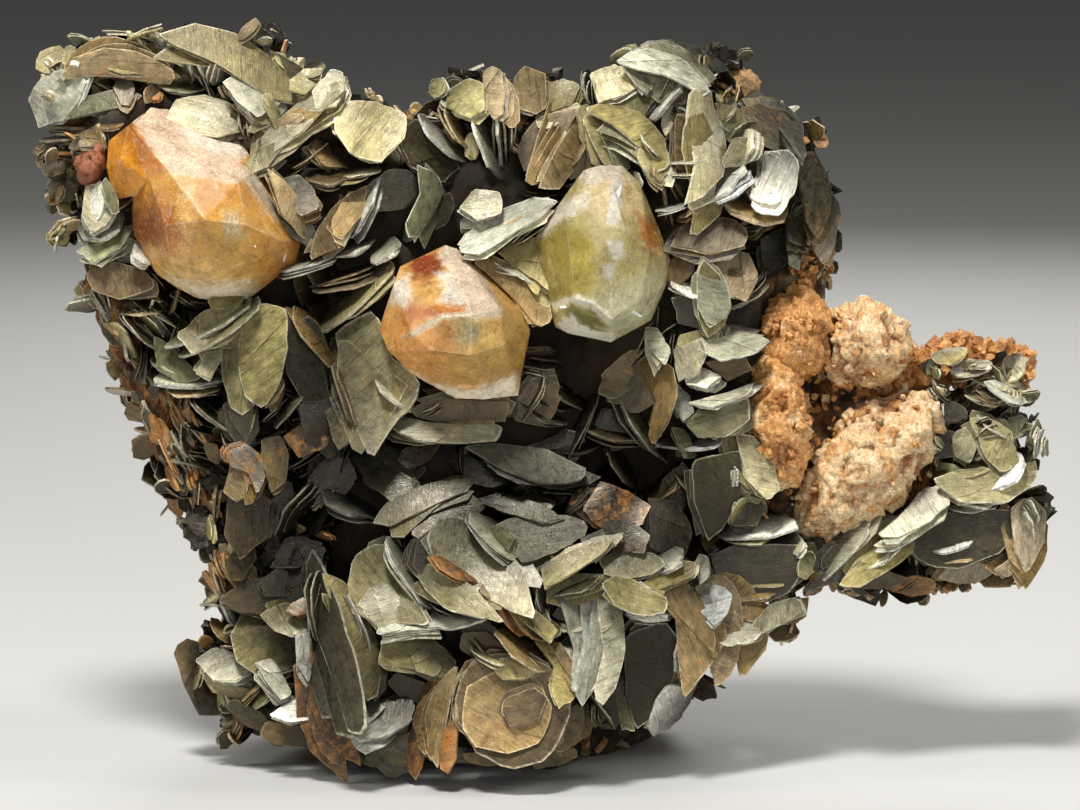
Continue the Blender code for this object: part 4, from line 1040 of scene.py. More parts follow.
def add_leaf(pile, plane, outline, low, high, tone, bend, rng, inner=(0.6,), under=True, deep=1.0):
    """Add one leaf between two heights over a plane of (origin, across, along, facing)."""
    origin, across, along, facing = plane
    colours, stain, turn, fade = tone
    count = len(outline)
    middle = outline.mean(0)
    tooth = rng.normal(0, TOOTH_SHARE, count)
    scales = [np.ones(count), 1 + tooth, np.full(count, RIM_SHARE)]
    heights = [low, high, high]
    edges = [1.0, 1.0, 0.0]
    if under:
        scales.insert(0, np.full(count, RIM_SHARE))
        heights.insert(0, low)
        edges.insert(0, 0.0)
    for share in inner:
        scales.append(np.full(count, share))
        heights.append(high)
        edges.append(0.0)
    flat = [middle + (outline - middle) * scale[:, None] for scale in scales]
    flat += [middle[None, :], middle[None, :]]
    heights += [low, high]
    edges += [0.0, 0.0]
    sizes = [len(part) for part in flat]
    flat = np.concatenate(flat)
    height = np.repeat(heights, sizes)
    edge = np.repeat(edges, sizes)
    lift = height + bend(flat)
    points = origin + flat[:, :1] * across + flat[:, 1:] * along + lift[:, None] * facing
    reach = np.abs(outline - middle).max()
    # the face fades across the leaf, by chance and as painted shade towards its far end
    level = np.clip(1 + ((flat - middle) @ fade) / reach, *FADE_RANGE)
    face_colour, edge_colour = colours
    tint = face_colour[None, :] * level[:, None] * (1 - edge[:, None])
    tint = tint + edge_colour[None, :] * edge[:, None]
    shift = rng.uniform(0, GRAIN_REACH_MM, 2)
    run_x = flat[:, 0] * math.cos(turn) + flat[:, 1] * math.sin(turn)
    run_y = flat[:, 1] * math.cos(turn) - flat[:, 0] * math.sin(turn)
    grain = np.stack((run_x + shift[0], run_y + shift[1], height), 1)
    marks = np.stack((edge, np.full(len(edge), stain), np.full(len(edge), rng.uniform())), 1)
    pile.add(points, ring_faces(count, len(scales)), tint, grain, marks, deep)


# A bend: height of its waves as a share of the book's size, and how many radians each way
WAVE_SHARE = 0.022
WAVES = (2.1, 3.4)


def bender(rng, size, cup, wave=1.0):
    """How a book is bent: a function of places on its plane."""
    swing = rng.uniform(0, 2 * math.pi, 2)
    amount = rng.normal(0, WAVE_SHARE, 2) * size * wave
    pull = rng.uniform(0, 1)
    turn = rng.uniform(0, math.pi)
    way = (math.cos(turn), math.sin(turn))

    def bend(flat):
        x = (flat[:, 0] * way[0] + flat[:, 1] * way[1]) / size
        y = (flat[:, 1] * way[0] - flat[:, 0] * way[1]) / size
        bowl = cup * size * (x * x + pull * y * y)
        first = amount[0] * np.sin(WAVES[0] * x + swing[0])
        return bowl + first + amount[1] * np.sin(WAVES[1] * y + swing[1])

    return bend


def long_way(outline):
    """The direction in which an outline is longest."""
    offset = outline - outline.mean(0)
    longest = np.linalg.eigh(offset.T @ offset)[1][:, 1]
    return math.atan2(longest[1], longest[0])


# How the colours of single books differ: range of their level, how warm or cold, how silvery the
# light ones are and in what cast, and how the face fades, by chance and darker towards its far end
# as painted shade
LEVEL_RANGE = (0.66, 1.26)
WARMTH = 0.05
SILVERING = 0.75
SILVER_FROM = 0.85
SILVER_SPAN = 0.4
SILVER_CAST = np.array((1.22, 1.20, 1.05))
CHANCE_FADE = 0.24
FAR_END_SHADE = 0.60


def one_of(rng, choices):
    """One of some things, by chance."""
    return choices[int(rng.integers(0, len(choices)))]


def tone_of(look, outline, rng, plane, vivid):
    """A finish's colours, slightly varied, its stain, the way of its lines and its fade."""
    finish = LOOKS[look]
    level = rng.uniform(*LEVEL_RANGE)
    warm = rng.uniform(-WARMTH, WARMTH)
    tilt = np.array((1 + warm, 1.0, 1 - 2.0 * warm))
    face = np.array(finish.face) * level * tilt
    pale = SILVERING * np.clip((level - SILVER_FROM) / SILVER_SPAN, 0.0, 1.0) * rng.uniform()
    face = face * (1 - pale) + face.mean() * SILVER_CAST * pale
    bright = vivid + (1 - vivid) * rng.uniform()
    edge = (np.array(finish.edge) * bright + face * 0.8 * (1 - bright)) * tilt
    turn = long_way(outline) + one_of(rng, (0, 0, 1, -1)) * math.pi / 3
    base = np.array((np.dot(FORWARD, plane[1]), np.dot(FORWARD, plane[2])))
    # painted shade: darker towards the end of the face that lies deeper in the specimen
    fade = rng.normal(0, CHANCE_FADE, 2) - FAR_END_SHADE * base
    return ((face, edge), finish.stain, turn + rng.normal(0, 0.1), fade)


def tilted(plane, turn, rock, nod, shift, back):
    """A plane turned in itself, rocked and nodded a little, and moved."""
    origin, across, along, facing = plane
    new_across = unit(across * math.cos(turn) + along * math.sin(turn) + facing * rock)
    new_facing = unit(np.cross(new_across, along * math.cos(turn) - across * math.sin(turn)
                               + facing * nod))
    new_along = np.cross(new_facing, new_across)
    place = origin + across * shift[0] + along * shift[1] - facing * back
    return (place, new_across, new_along, new_facing)


# How richly a book is made: fewest and most points round its leaves, fewest and most leaves behind
# the first, fewest broken sheets and the number they stay under, and shares of rings on its face
Make = namedtuple("Make", "points sisters sheets inner")
RICH = Make((16, 26), (2, 4), (1, 3), (0.6,))
MEDIUM = Make((12, 18), (0, 1), (0, 2), (0.5,))
THIN = Make((16, 24), (1, 2), (1, 2), ())
SIMPLE = Make((8, 10), (0, 1), (0, 1), ())
POINTS_PER_MM = 7

# Broken sheets on a book: their step down in size, rise and pale edge
SHEET_SHARE = 0.985
SHEET_RISE_MM = (0.04, 0.12)
SHEET_SINK_MM = 0.03
SHEET_EDGE = 1.7

# Leaves behind a book: thickness as a share, gaps, how they open and slide, turn and size
LEAF_THICK = (0.4, 0.9)
LEAF_GAP_MM = (0.02, 0.35)
LEAF_OPENING = 0.045
LEAF_SLIDE = 0.09
LEAF_TURN = 0.10
LEAF_SIZE = (0.74, 1.10)
LEAF_ROUGH = 1.6


def add_book(pile, plane, outline, thick, look, rng, make, cup=0.0, wave=1.0, deep=1.0, vivid=0.5):
    """Add one book: a front leaf with broken sheets on it, and leaves that fan out behind it."""
    outline = counterclockwise(outline)
    size = np.abs(outline).max()
    count = int(np.clip(size * POINTS_PER_MM, make.points[0], make.points[1]))
    bend = bender(rng, size, cup, wave)
    tone = tone_of(look, outline, rng, plane, vivid)
    front = thick * 0.5
    body = broken(resampled(outline, count, 0), rng, 1.0)
    add_leaf(pile, plane, body, -front, front, tone, bend, rng, make.inner, True, deep)
    (face, _), stain, turn, fade = tone
    faint = ((face * rng.uniform(0.9, 1.15), face * SHEET_EDGE), stain, turn, fade)
    level = front
    part = body
    for _ in range(int(rng.integers(make.sheets[0], make.sheets[1]))):
        part = cut_leaf(part * SHEET_SHARE, rng)
        rise = rng.uniform(*SHEET_RISE_MM)
        sheet = broken(resampled(part, max(12, count * 2 // 3), 0), rng, 0.8)
        low = level - SHEET_SINK_MM
        add_leaf(pile, plane, sheet, low, level + rise, faint, bend, rng, (), False, deep)
        level += rise
        part = sheet
    back = front
    opening = rng.normal(0, LEAF_OPENING, 2)
    slide = rng.normal(0, LEAF_SLIDE, 2) * size
    for number in range(int(rng.integers(make.sisters[0], make.sisters[1] + 1))):
        half = thick * rng.uniform(*LEAF_THICK) / 2
        back += half + rng.uniform(*LEAF_GAP_MM)
        spread = opening * (number + 1) + rng.normal(0, 0.03, 2)
        shift = slide * (number + 1) + rng.normal(0, 0.04, 2) * size
        moved = tilted(plane, rng.normal(0, LEAF_TURN), spread[0], spread[1], shift, back)
        shape = resampled(outline * rng.uniform(*LEAF_SIZE, 2), max(9, count * 2 // 3), 0)
        shape = broken(shape, rng, LEAF_ROUGH)
        own = tone_of(look, outline, rng, plane, vivid * 0.5)
        add_leaf(pile, moved, shape, -half, half, own, bend, rng, (), True, deep)
        back += half


# Places of the books
def plane_facing(point, right, up):
    """A plane through a point that leans right and up from facing the camera."""
    facing = unit(-FORWARD + RIGHT * right + UP * up)
    across = unit(np.cross(UP, facing))
    along = np.cross(facing, across)
    return (point, across, along, facing)


def flat_places(pixels, plane):
    """Places on a plane that the pixels show, as x and y on it."""
    origin, across, along, facing = plane
    places = []
    for u, v in pixels:
        offset = on_plane(u, v, origin, facing) - origin
        places.append((np.dot(offset, across), np.dot(offset, along)))
    return np.array(places)


def leaf_pixels(spot, rng):
    """The outline in the picture of a book that is given by its middle and half sizes."""
    corners = leaf(rng, spot.long, spot.short)
    turn = math.radians(spot.turn)
    u = spot.u + corners[:, 0] * math.cos(turn) - corners[:, 1] * math.sin(turn)
    v = spot.v - corners[:, 0] * math.sin(turn) - corners[:, 1] * math.cos(turn)
    return np.stack((u, v), 1)


# Books read from the picture: how much larger they are made, how much of their distance in front
# counts, and how far the near edge of one that is seen from the edge stands out
READ_SCALE = 1.10
OUT_SHARE = 0.6
EDGE_OUT_MM = 0.6


def read_shape(spot, rng):
    """Plane, outline and thickness of a book that shows its face."""
    if isinstance(spot, Face):
        corners = leaf_pixels(spot, rng)
    else:
        corners = np.array(spot.corners, float)
    middle = corners.mean(0)
    depth = front_depth(middle[0], middle[1]) - spot.out * OUT_SHARE
    plane = plane_facing(at_depth(middle[0], middle[1], depth), spot.right, spot.up)
    outline = flat_places(corners, plane) * READ_SCALE
    size = np.abs(corners - middle).max() * PIXEL_MM
    thick = rng.uniform(0.16, 0.30) + 0.016 * size
    return plane, outline, thick


def read_rim(spot, rng):
    """Plane, outline and thickness of a book that shows its edge."""
    middle = ((spot.u0 + spot.u1) / 2, (spot.v0 + spot.v1) / 2)
    depth = front_depth(*middle) - spot.out * OUT_SHARE
    point = at_depth(middle[0], middle[1], depth)
    start = at_depth(spot.u0, spot.v0, depth)
    end = at_depth(spot.u1, spot.v1, depth)
    length = np.linalg.norm(end - start)
    across = unit(end - start)
    if across[0] < 0:
        across = -across
    upright = unit(np.cross(-FORWARD, across))
    opens = math.radians(spot.opens)
    facing = unit(upright * math.cos(opens) - FORWARD * math.sin(opens))
    along = np.cross(facing, across)
    back = along if np.dot(along, FORWARD) > 0 else -along
    half = spot.reach / 2
    plane = (point + back * (half - EDGE_OUT_MM), across, along, facing)
    corners = leaf(rng, length / 2, half, 7)
    corners[:, 0] *= length / 2 / np.abs(corners[:, 0]).max()
    thick = max(0.18, min(0.5, spot.pixels * PIXEL_MM * 0.3))
    return plane, corners, thick


def place_read_books(piles):
    """The books whose places were read from the photograph."""
    rng = np.random.default_rng(SEED)
    for spot in READ_BOOKS:
        if isinstance(spot, Rim):
            plane, outline, thick = read_rim(spot, rng)
            make = THIN
        else:
            plane, outline, thick = read_shape(spot, rng)
            make = RICH
        cup = rng.normal(0, 0.05)
        pile = piles[nearest_node(plane[0])]
        add_book(pile, plane, outline, thick, spot.look, rng, make, cup, 1.0, 1.0, 0.8)


def clear_of_crystals(points, margin):
    """Whether none of the points is in or near a crystal."""
    return not any(within(point, tree, margin) for point in points for tree in CRYSTAL_TREES)


def plane_corners(plane, outline):
    """The points of an outline on a plane."""
    origin, across, along, _ = plane
    return [origin + across * x + along * y for x, y in outline]


def edgewise_plane(point, rng):
    """A plane through a point, seen nearly from its edge."""
    turn = rng.uniform(0, math.pi)
    across = RIGHT * math.cos(turn) + UP * math.sin(turn)
    upright = np.cross(-FORWARD, across)
    opens = rng.uniform(0.05, 0.65) * (1 if rng.uniform() < 0.5 else -1)
    facing = unit(upright * math.cos(opens) - FORWARD * math.sin(opens))
    return (point, across, np.cross(facing, across), facing)


def turned_plane(point, facing, rng):
    """A plane through a point that faces a given way, turned in itself by chance."""
    across = unit(np.cross(facing, rng.normal(0, 1, 3)))
    return (point, across, np.cross(facing, across), facing)


def random_pixel(corners, rng):
    """A pixel from the box round an outline, or None when it is outside the outline."""
    low = np.min(corners, 0)
    high = np.max(corners, 0)
    u = rng.uniform(low[0], high[0])
    v = rng.uniform(low[1], high[1])
    return (u, v) if inside(u, v, corners) else None


def random_pixels(corners, count, rng):
    """That many pixels inside an outline."""
    placed = 0
    while placed < count:
        pixel = random_pixel(corners, rng)
        if pixel is not None:
            placed += 1
            yield pixel


def place_fills(piles):
    """The fans of books that fill the gaps behind those that were read."""
    rng = np.random.default_rng(SEED + 1)
    for fill in FILLS:
        for u, v in random_pixels(fill.corners, fill.count, rng):
            depth = front_depth(u, v) + rng.uniform(*fill.back) - FAN_FORWARD_MM
            point = at_depth(u, v, depth)
            if rng.uniform() < fill.edgewise:
                plane = edgewise_plane(point, rng)
            else:
                plane = plane_facing(point, rng.uniform(*fill.right) * FAN_LEAN,
                                     rng.uniform(*fill.up) * FAN_LEAN)
            place_fan(piles, plane, fill, rng)


def place_fan(piles, plane, fill, rng):
    """A few books one behind another, each leaning a little more than the last."""
    size = rng.uniform(*fill.pixels) * PIXEL_MM
    step = size * rng.uniform(*FAN_STEP)
    nod = rng.uniform(-FAN_NOD, FAN_NOD)
    rock = rng.uniform(-FAN_ROCK, FAN_ROCK)
    look = one_of(rng, fill.looks)
    for number in range(int(rng.integers(FAN_BOOKS[0], FAN_BOOKS[1] + 1))):
        own = size * rng.uniform(0.75, 1.1)
        shift = rng.normal(0, 0.22, 2) * size
        moved = tilted(plane, rng.normal(0, 0.5), rock * number, nod * number, shift, step * number)
        outline = leaf(rng, own, own * rng.uniform(0.6, 0.95))
        thick = rng.uniform(0.14, 0.34)
        cup = rng.normal(0, 0.07)
        if rng.uniform() < FAN_CHANGE:
            look = one_of(rng, fill.looks)
        if not clear_of_crystals([moved[0]] + plane_corners(moved, outline), 0.3):
            continue
        pile = piles[nearest_node(moved[0])]
        add_book(pile, moved, outline, thick, look, rng, MEDIUM, cup, fill.wave, 1.0, 0.3)


def along_line(line, share):
    """The pixel at a share of a run's length."""
    line = np.array(line, float)
    lengths = np.linalg.norm(np.diff(line, axis=0), axis=1)
    run = np.concatenate(((0.0,), np.cumsum(lengths)))
    wanted = share * run[-1]
    return np.interp(wanted, run, line[:, 0]), np.interp(wanted, run, line[:, 1])


def on_solid(point):
    """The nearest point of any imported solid, and the way out of it there."""
    near, normal, _, _ = ALL_TREE.find_nearest(Vector(point))
    return np.array(near), np.array(normal)


def place_crusts(piles):
    """Small leaves that roughen the outline."""
    rng = np.random.default_rng(SEED + 2)
    for crust in CRUSTS:
        for _ in range(crust.count):
            u, v = along_line(crust.line, rng.uniform())
            u += rng.normal(0, crust.spread * 0.5)
            v += rng.normal(0, crust.spread * 0.5)
            point, normal = on_solid(at_depth(u, v, rng.uniform(*crust.depth)))
            size = rng.uniform(*crust.pixels) * PIXEL_MM
            way = unit(normal + rng.normal(0, CRUST_UNEVEN, 3))
            plane = turned_plane(point + normal * size * CRUST_LIFT, way, rng)
            outline = leaf(rng, size, size * rng.uniform(0.4, 0.9))
            look = one_of(rng, crust.looks)
            if not clear_of_crystals([plane[0]], size * 0.6):
                continue
            pile = piles[nearest_node(plane[0])]
            thick = rng.uniform(0.3, 0.8)
            add_book(pile, plane, outline, thick, look, rng, SIMPLE, 0.0, 1.0, 0.0, 0.1)


def place_band(piles):
    """Splinters that lie along the stained band of the left side."""
    rng = np.random.default_rng(SEED + 4)
    run = unit(RIGHT * BAND_RUN[0] - UP * BAND_RUN[1])
    for u, v in random_pixels(BAND, BAND_COUNT, rng):
        point, normal = seen_on(ROCK_TREE, u, v)
        if point is None:
            continue
        normal = np.array(normal)
        across = unit(run + rng.normal(0, BAND_UNEVEN[0], 3))
        facing = unit(np.cross(across, unit(normal + rng.normal(0, BAND_UNEVEN[1], 3))))
        along = np.cross(facing, across)
        size = rng.uniform(*BAND_PIXELS) * PIXEL_MM
        plane = (np.array(point) + normal * rng.uniform(-0.2, 0.4), across, along, facing)
        outline = leaf(rng, size, min(size * 0.5, rng.uniform(0.5, 1.3)), 7)
        look = one_of(rng, BAND_LOOKS)
        pile = piles[nearest_node(plane[0])]
        thick = rng.uniform(0.2, 0.55)
        add_book(pile, plane, outline, thick, look, rng, SIMPLE, 0.0, 1.0, 0.0, 0.0)


# Materials
def node(tree, kind, **values):
    """A shader node with its settings and its unlinked inputs."""
    made = tree.nodes.new(kind)
    for key, value in values.items():
        if key in made.inputs:
            made.inputs[key].default_value = value
        else:
            setattr(made, key, value)
    return made


def link(tree, source, target):
    tree.links.new(source, target)


def rgba(colour):
    """A colour, or a grey that is given by its level, with its alpha."""
    return (*colour, 1.0) if isinstance(colour, tuple) else (colour, colour, colour, 1.0)


def feed(tree, value, target):
    """Give an input what it takes: a socket to link, a number, or a colour."""
    if isinstance(value, bpy.types.NodeSocket):
        link(tree, value, target)
    else:
        target.default_value = rgba(value) if target.type == "RGBA" else value


def ramp(tree, source, *stops):
    """A colour ramp over a value; each stop is a place and a colour or grey level."""
    made = tree.nodes.new("ShaderNodeValToRGB")
    band = made.color_ramp
    while len(band.elements) < len(stops):
        band.elements.new(0.5)
    for element, (place, colour) in zip(band.elements, stops):
        element.position = place
        element.color = rgba(colour)
    link(tree, source, made.inputs[0])
    return made.outputs[0]


def mix(tree, share, first, second, blend="MIX"):
    """One colour mixed into another; each is a socket, a colour or a grey level."""
    made = tree.nodes.new("ShaderNodeMix")
    made.data_type = "RGBA"
    made.blend_type = blend
    feed(tree, share, made.inputs[0])
    feed(tree, first, made.inputs[6])
    feed(tree, second, made.inputs[7])
    return made.outputs[2]


def times(tree, colour, level):
    """One colour times another."""
    return mix(tree, 1.0, colour, level, "MULTIPLY")


def maths(tree, operation, first, second, clamp=False):
    """An operation on two values; each is a socket or a number."""
    made = tree.nodes.new("ShaderNodeMath")
    made.operation = operation
    made.use_clamp = clamp
    feed(tree, first, made.inputs[0])
    feed(tree, second, made.inputs[1])
    return made.outputs[0]


def product(tree, first, second):
    """Two values multiplied."""
    return maths(tree, "MULTIPLY", first, second)


def plus(tree, first, second, clamp=False):
    """Two values added."""
    return maths(tree, "ADD", first, second, clamp)


def attribute(tree, name):
    """What a mesh says at each point, as an attribute node."""
    return node(tree, "ShaderNodeAttribute", attribute_name=name)


def marks_of(tree):
    """The three values of the marks, which mean something else in each material."""
    parts = node(tree, "ShaderNodeSeparateXYZ")
    link(tree, attribute(tree, "marks").outputs["Vector"], parts.inputs[0])
    return parts.outputs


def noise_of(tree, vector, scale, detail=4.0, rough=0.55, stretch=None):
    """Values of a noise texture, its space stretched where that is asked for."""
    if stretch is not None:
        mapped = node(tree, "ShaderNodeMapping", Scale=stretch)
        link(tree, vector, mapped.inputs[0])
        vector = mapped.outputs[0]
    made = node(tree, "ShaderNodeTexNoise", Scale=scale, Detail=detail, Roughness=rough)
    link(tree, vector, made.inputs["Vector"])
    return made.outputs["Fac"]


def bump(tree, height, strength, distance, normal=None):
    """Fine relief, its distance in metres, over an earlier one if there is one."""
    made = node(tree, "ShaderNodeBump", Strength=strength, Distance=distance)
    link(tree, height, made.inputs["Height"])
    if normal is not None:
        link(tree, normal, made.inputs["Normal"])
    return made.outputs[0]


def new_material(name):
    """A material with its node tree, its shader and its output."""
    material = bpy.data.materials.new(name)
    material.use_nodes = True
    tree = material.node_tree
    tree.nodes.clear()
    shader = tree.nodes.new("ShaderNodeBsdfPrincipled")
    output = tree.nodes.new("ShaderNodeOutputMaterial")
    link(tree, shader.outputs[0], output.inputs["Surface"])
    return material, tree, shader, output


def mica_material():
    """Pearly olive leaves with fine parallel lines, pale laminated edges and iron stain."""
    material, tree, shader, _ = new_material("mica")
    tint = attribute(tree, "tint").outputs["Color"]
    grain = attribute(tree, "grain").outputs["Vector"]
    edge, stain, _ = marks_of(tree)
    cloud = noise_of(tree, grain, 0.42, 5.0, 0.68)
    lines = noise_of(tree, grain, 1.0, 4.0, 0.7, (0.10, 2.6, 0.2))
    hair = noise_of(tree, grain, 1.0, 3.0, 0.6, (0.16, 7.0, 0.2))
    fleck = noise_of(tree, grain, 4.0, 3.0, 0.75)
    leaves = noise_of(tree, grain, 1.0, 3.0, 0.65, (0.6, 0.6, 16.0))
    colour = times(tree, tint, ramp(tree, cloud, (0.28, 0.45), (0.45, 0.82), (0.58, 1.08),
                                    (0.74, 1.6)))
    colour = times(tree, colour, ramp(tree, lines, (0.34, 0.72), (0.44, 0.94), (0.56, 1.02),
                                      (0.70, 1.14)))
    colour = times(tree, colour, ramp(tree, hair, (0.38, 0.91), (0.50, 1.0), (0.64, 1.05)))
    cleft = noise_of(tree, grain, 1.0, 2.0, 0.5, (0.035, 0.62, 0.1))
    cleft = ramp(tree, cleft, (0.486, 1.0), (0.498, 0.50), (0.502, 0.50), (0.514, 1.0))
    colour = times(tree, colour, cleft)
    colour = times(tree, colour, ramp(tree, fleck, (0.30, 0.70), (0.50, 1.0), (0.70, 1.25)))
    scuffs = ramp(tree, noise_of(tree, grain, 1.4, 4.0, 0.75, (0.5, 1.6, 0.5)), (0.55, 0.0),
                  (0.70, 0.60))
    silvery = mix(tree, 0.5, times(tree, tint, 1.9), times(tree, tint, (2.4, 2.5, 2.9)))
    colour = mix(tree, scuffs, colour, silvery)
    gaps = ramp(tree, leaves, (0.36, 1.0), (0.50, 0.0))
    gaps = product(tree, gaps, product(tree, edge, 0.8))
    colour = mix(tree, gaps, colour, times(tree, colour, (0.30, 0.25, 0.17)))
    rust = noise_of(tree, grain, 0.5, 4.0, 0.7)
    reach = plus(tree, product(tree, stain, 0.34), rust)
    rusty = ramp(tree, reach, (0.66, 0.0), (0.84, 0.85))
    rust_tint = ramp(tree, fleck, (0.3, (0.55, 0.20, 0.06)), (0.52, (1.15, 0.62, 0.20)),
                     (0.72, (1.9, 1.15, 0.45)))
    colour = mix(tree, rusty, colour, times(tree, mix(tree, 0.5, tint, (0.42, 0.34, 0.22)),
                                            rust_tint))
    link(tree, colour, shader.inputs["Base Color"])
    gloss = ramp(tree, noise_of(tree, grain, 1.1, 3.0), (0.3, 0.18), (0.7, 0.42))
    link(tree, gloss, shader.inputs["Roughness"])
    rough = bump(tree, fleck, 0.35, 0.00008)
    rough = bump(tree, lines, 0.35, 0.00010, rough)
    rough = bump(tree, leaves, 0.6, 0.00012, rough)
    link(tree, rough, shader.inputs["Normal"])
    shader.inputs["Specular IOR Level"].default_value = 0.42
    shader.inputs["Specular Tint"].default_value = (1.0, 0.93, 0.78, 1.0)
    return material


def rock_material():
    """Iron-stained rock: orange, rusty brown and nearly black, with pale grains; its front behind
    the books is painted nearly black as shade, and its low places are painted darker as shade.
    """
    material, tree, shader, _ = new_material("rock")
    place = attribute(tree, "grain").outputs["Vector"]
    depth, front, band = marks_of(tree)
    big = noise_of(tree, place, 0.11, 5.0, 0.6)
    fine = noise_of(tree, place, 0.9, 6.0, 0.75)
    grit = noise_of(tree, place, 3.0, 4.0, 0.8)
    streak = noise_of(tree, place, 0.8, 6.0, 0.8, (1.5, 1.0, 0.6))
    orange = ramp(tree, streak, (0.34, (0.018, 0.012, 0.009)), (0.45, (0.085, 0.042, 0.018)),
                  (0.54, (0.30, 0.125, 0.035)), (0.63, (0.56, 0.29, 0.10)),
                  (0.74, (0.36, 0.25, 0.15)))
    greyer = ramp(tree, fine, (0.3, (0.05, 0.045, 0.035)), (0.5, (0.19, 0.16, 0.11)),
                  (0.72, (0.42, 0.36, 0.26)))
    rusty = plus(tree, big, product(tree, band, -0.25))
    colour = mix(tree, ramp(tree, rusty, (0.42, 0.0), (0.58, 1.0)), orange, greyer)
    colour = times(tree, colour, ramp(tree, grit, (0.30, 0.5), (0.50, 1.0), (0.72, 1.35)))
    # painted shade: darker in the low places of the relief
    colour = mix(tree, ramp(tree, depth, (0.25, 0.9), (0.55, 0.0)), colour,
                 times(tree, colour, (0.16, 0.12, 0.08)))
    # painted shade: the rock's front behind the books made nearly black
    colour = mix(tree, product(tree, front, 0.93), colour, (0.016, 0.013, 0.009))
    link(tree, colour, shader.inputs["Base Color"])
    link(tree, ramp(tree, fine, (0.3, 0.5), (0.7, 0.95)), shader.inputs["Roughness"])
    rough = bump(tree, grit, 0.6, 0.00020)
    rough = bump(tree, fine, 0.7, 0.00045, rough)
    link(tree, bump(tree, streak, 0.6, 0.0007, rough), shader.inputs["Normal"])
    shader.inputs["Specular IOR Level"].default_value = 0.2
    return material


def feldspar_material():
    """Sugary feldspar: cream grains with bright cleavages, and orange iron in its hollows."""
    material, tree, shader, _ = new_material("feldspar")
    place = attribute(tree, "grain").outputs["Vector"]
    height, warm, chance = marks_of(tree)
    big = noise_of(tree, place, 0.26, 4.0, 0.6)
    fine = noise_of(tree, place, 2.2, 6.0, 0.8)
    grit = noise_of(tree, place, 5.0, 4.0, 0.8)
    cream = ramp(tree, fine, (0.28, (0.40, 0.19, 0.06)), (0.42, (0.66, 0.42, 0.18)),
                 (0.53, (0.84, 0.65, 0.38)), (0.66, (1.0, 0.94, 0.78)))
    rust = ramp(tree, fine, (0.30, (0.18, 0.06, 0.015)), (0.45, (0.52, 0.20, 0.04)),
                (0.57, (0.82, 0.44, 0.13)), (0.70, (0.96, 0.76, 0.44)))
    own = plus(tree, product(tree, big, 0.75), product(tree, warm, 0.5))
    own = plus(tree, own, product(tree, chance, 0.16))
    colour = mix(tree, ramp(tree, own, (0.50, 0.0), (0.66, 0.95)), cream, rust)
    colour = mix(tree, ramp(tree, height, (0.22, 0.95), (0.50, 0.0)), colour,
                 times(tree, rust, (0.50, 0.34, 0.24)))
    colour = times(tree, colour, ramp(tree, grit, (0.30, 0.62), (0.50, 1.0), (0.70, 1.10)))
    link(tree, colour, shader.inputs["Base Color"])
    gloss = plus(tree, product(tree, chance, 0.35), product(tree, fine, 0.4))
    link(tree, gloss, shader.inputs["Roughness"])
    rough = bump(tree, grit, 0.5, 0.00012)
    link(tree, bump(tree, fine, 0.7, 0.00030, rough), shader.inputs["Normal"])
    shader.inputs["Specular IOR Level"].default_value = 0.6
    return material


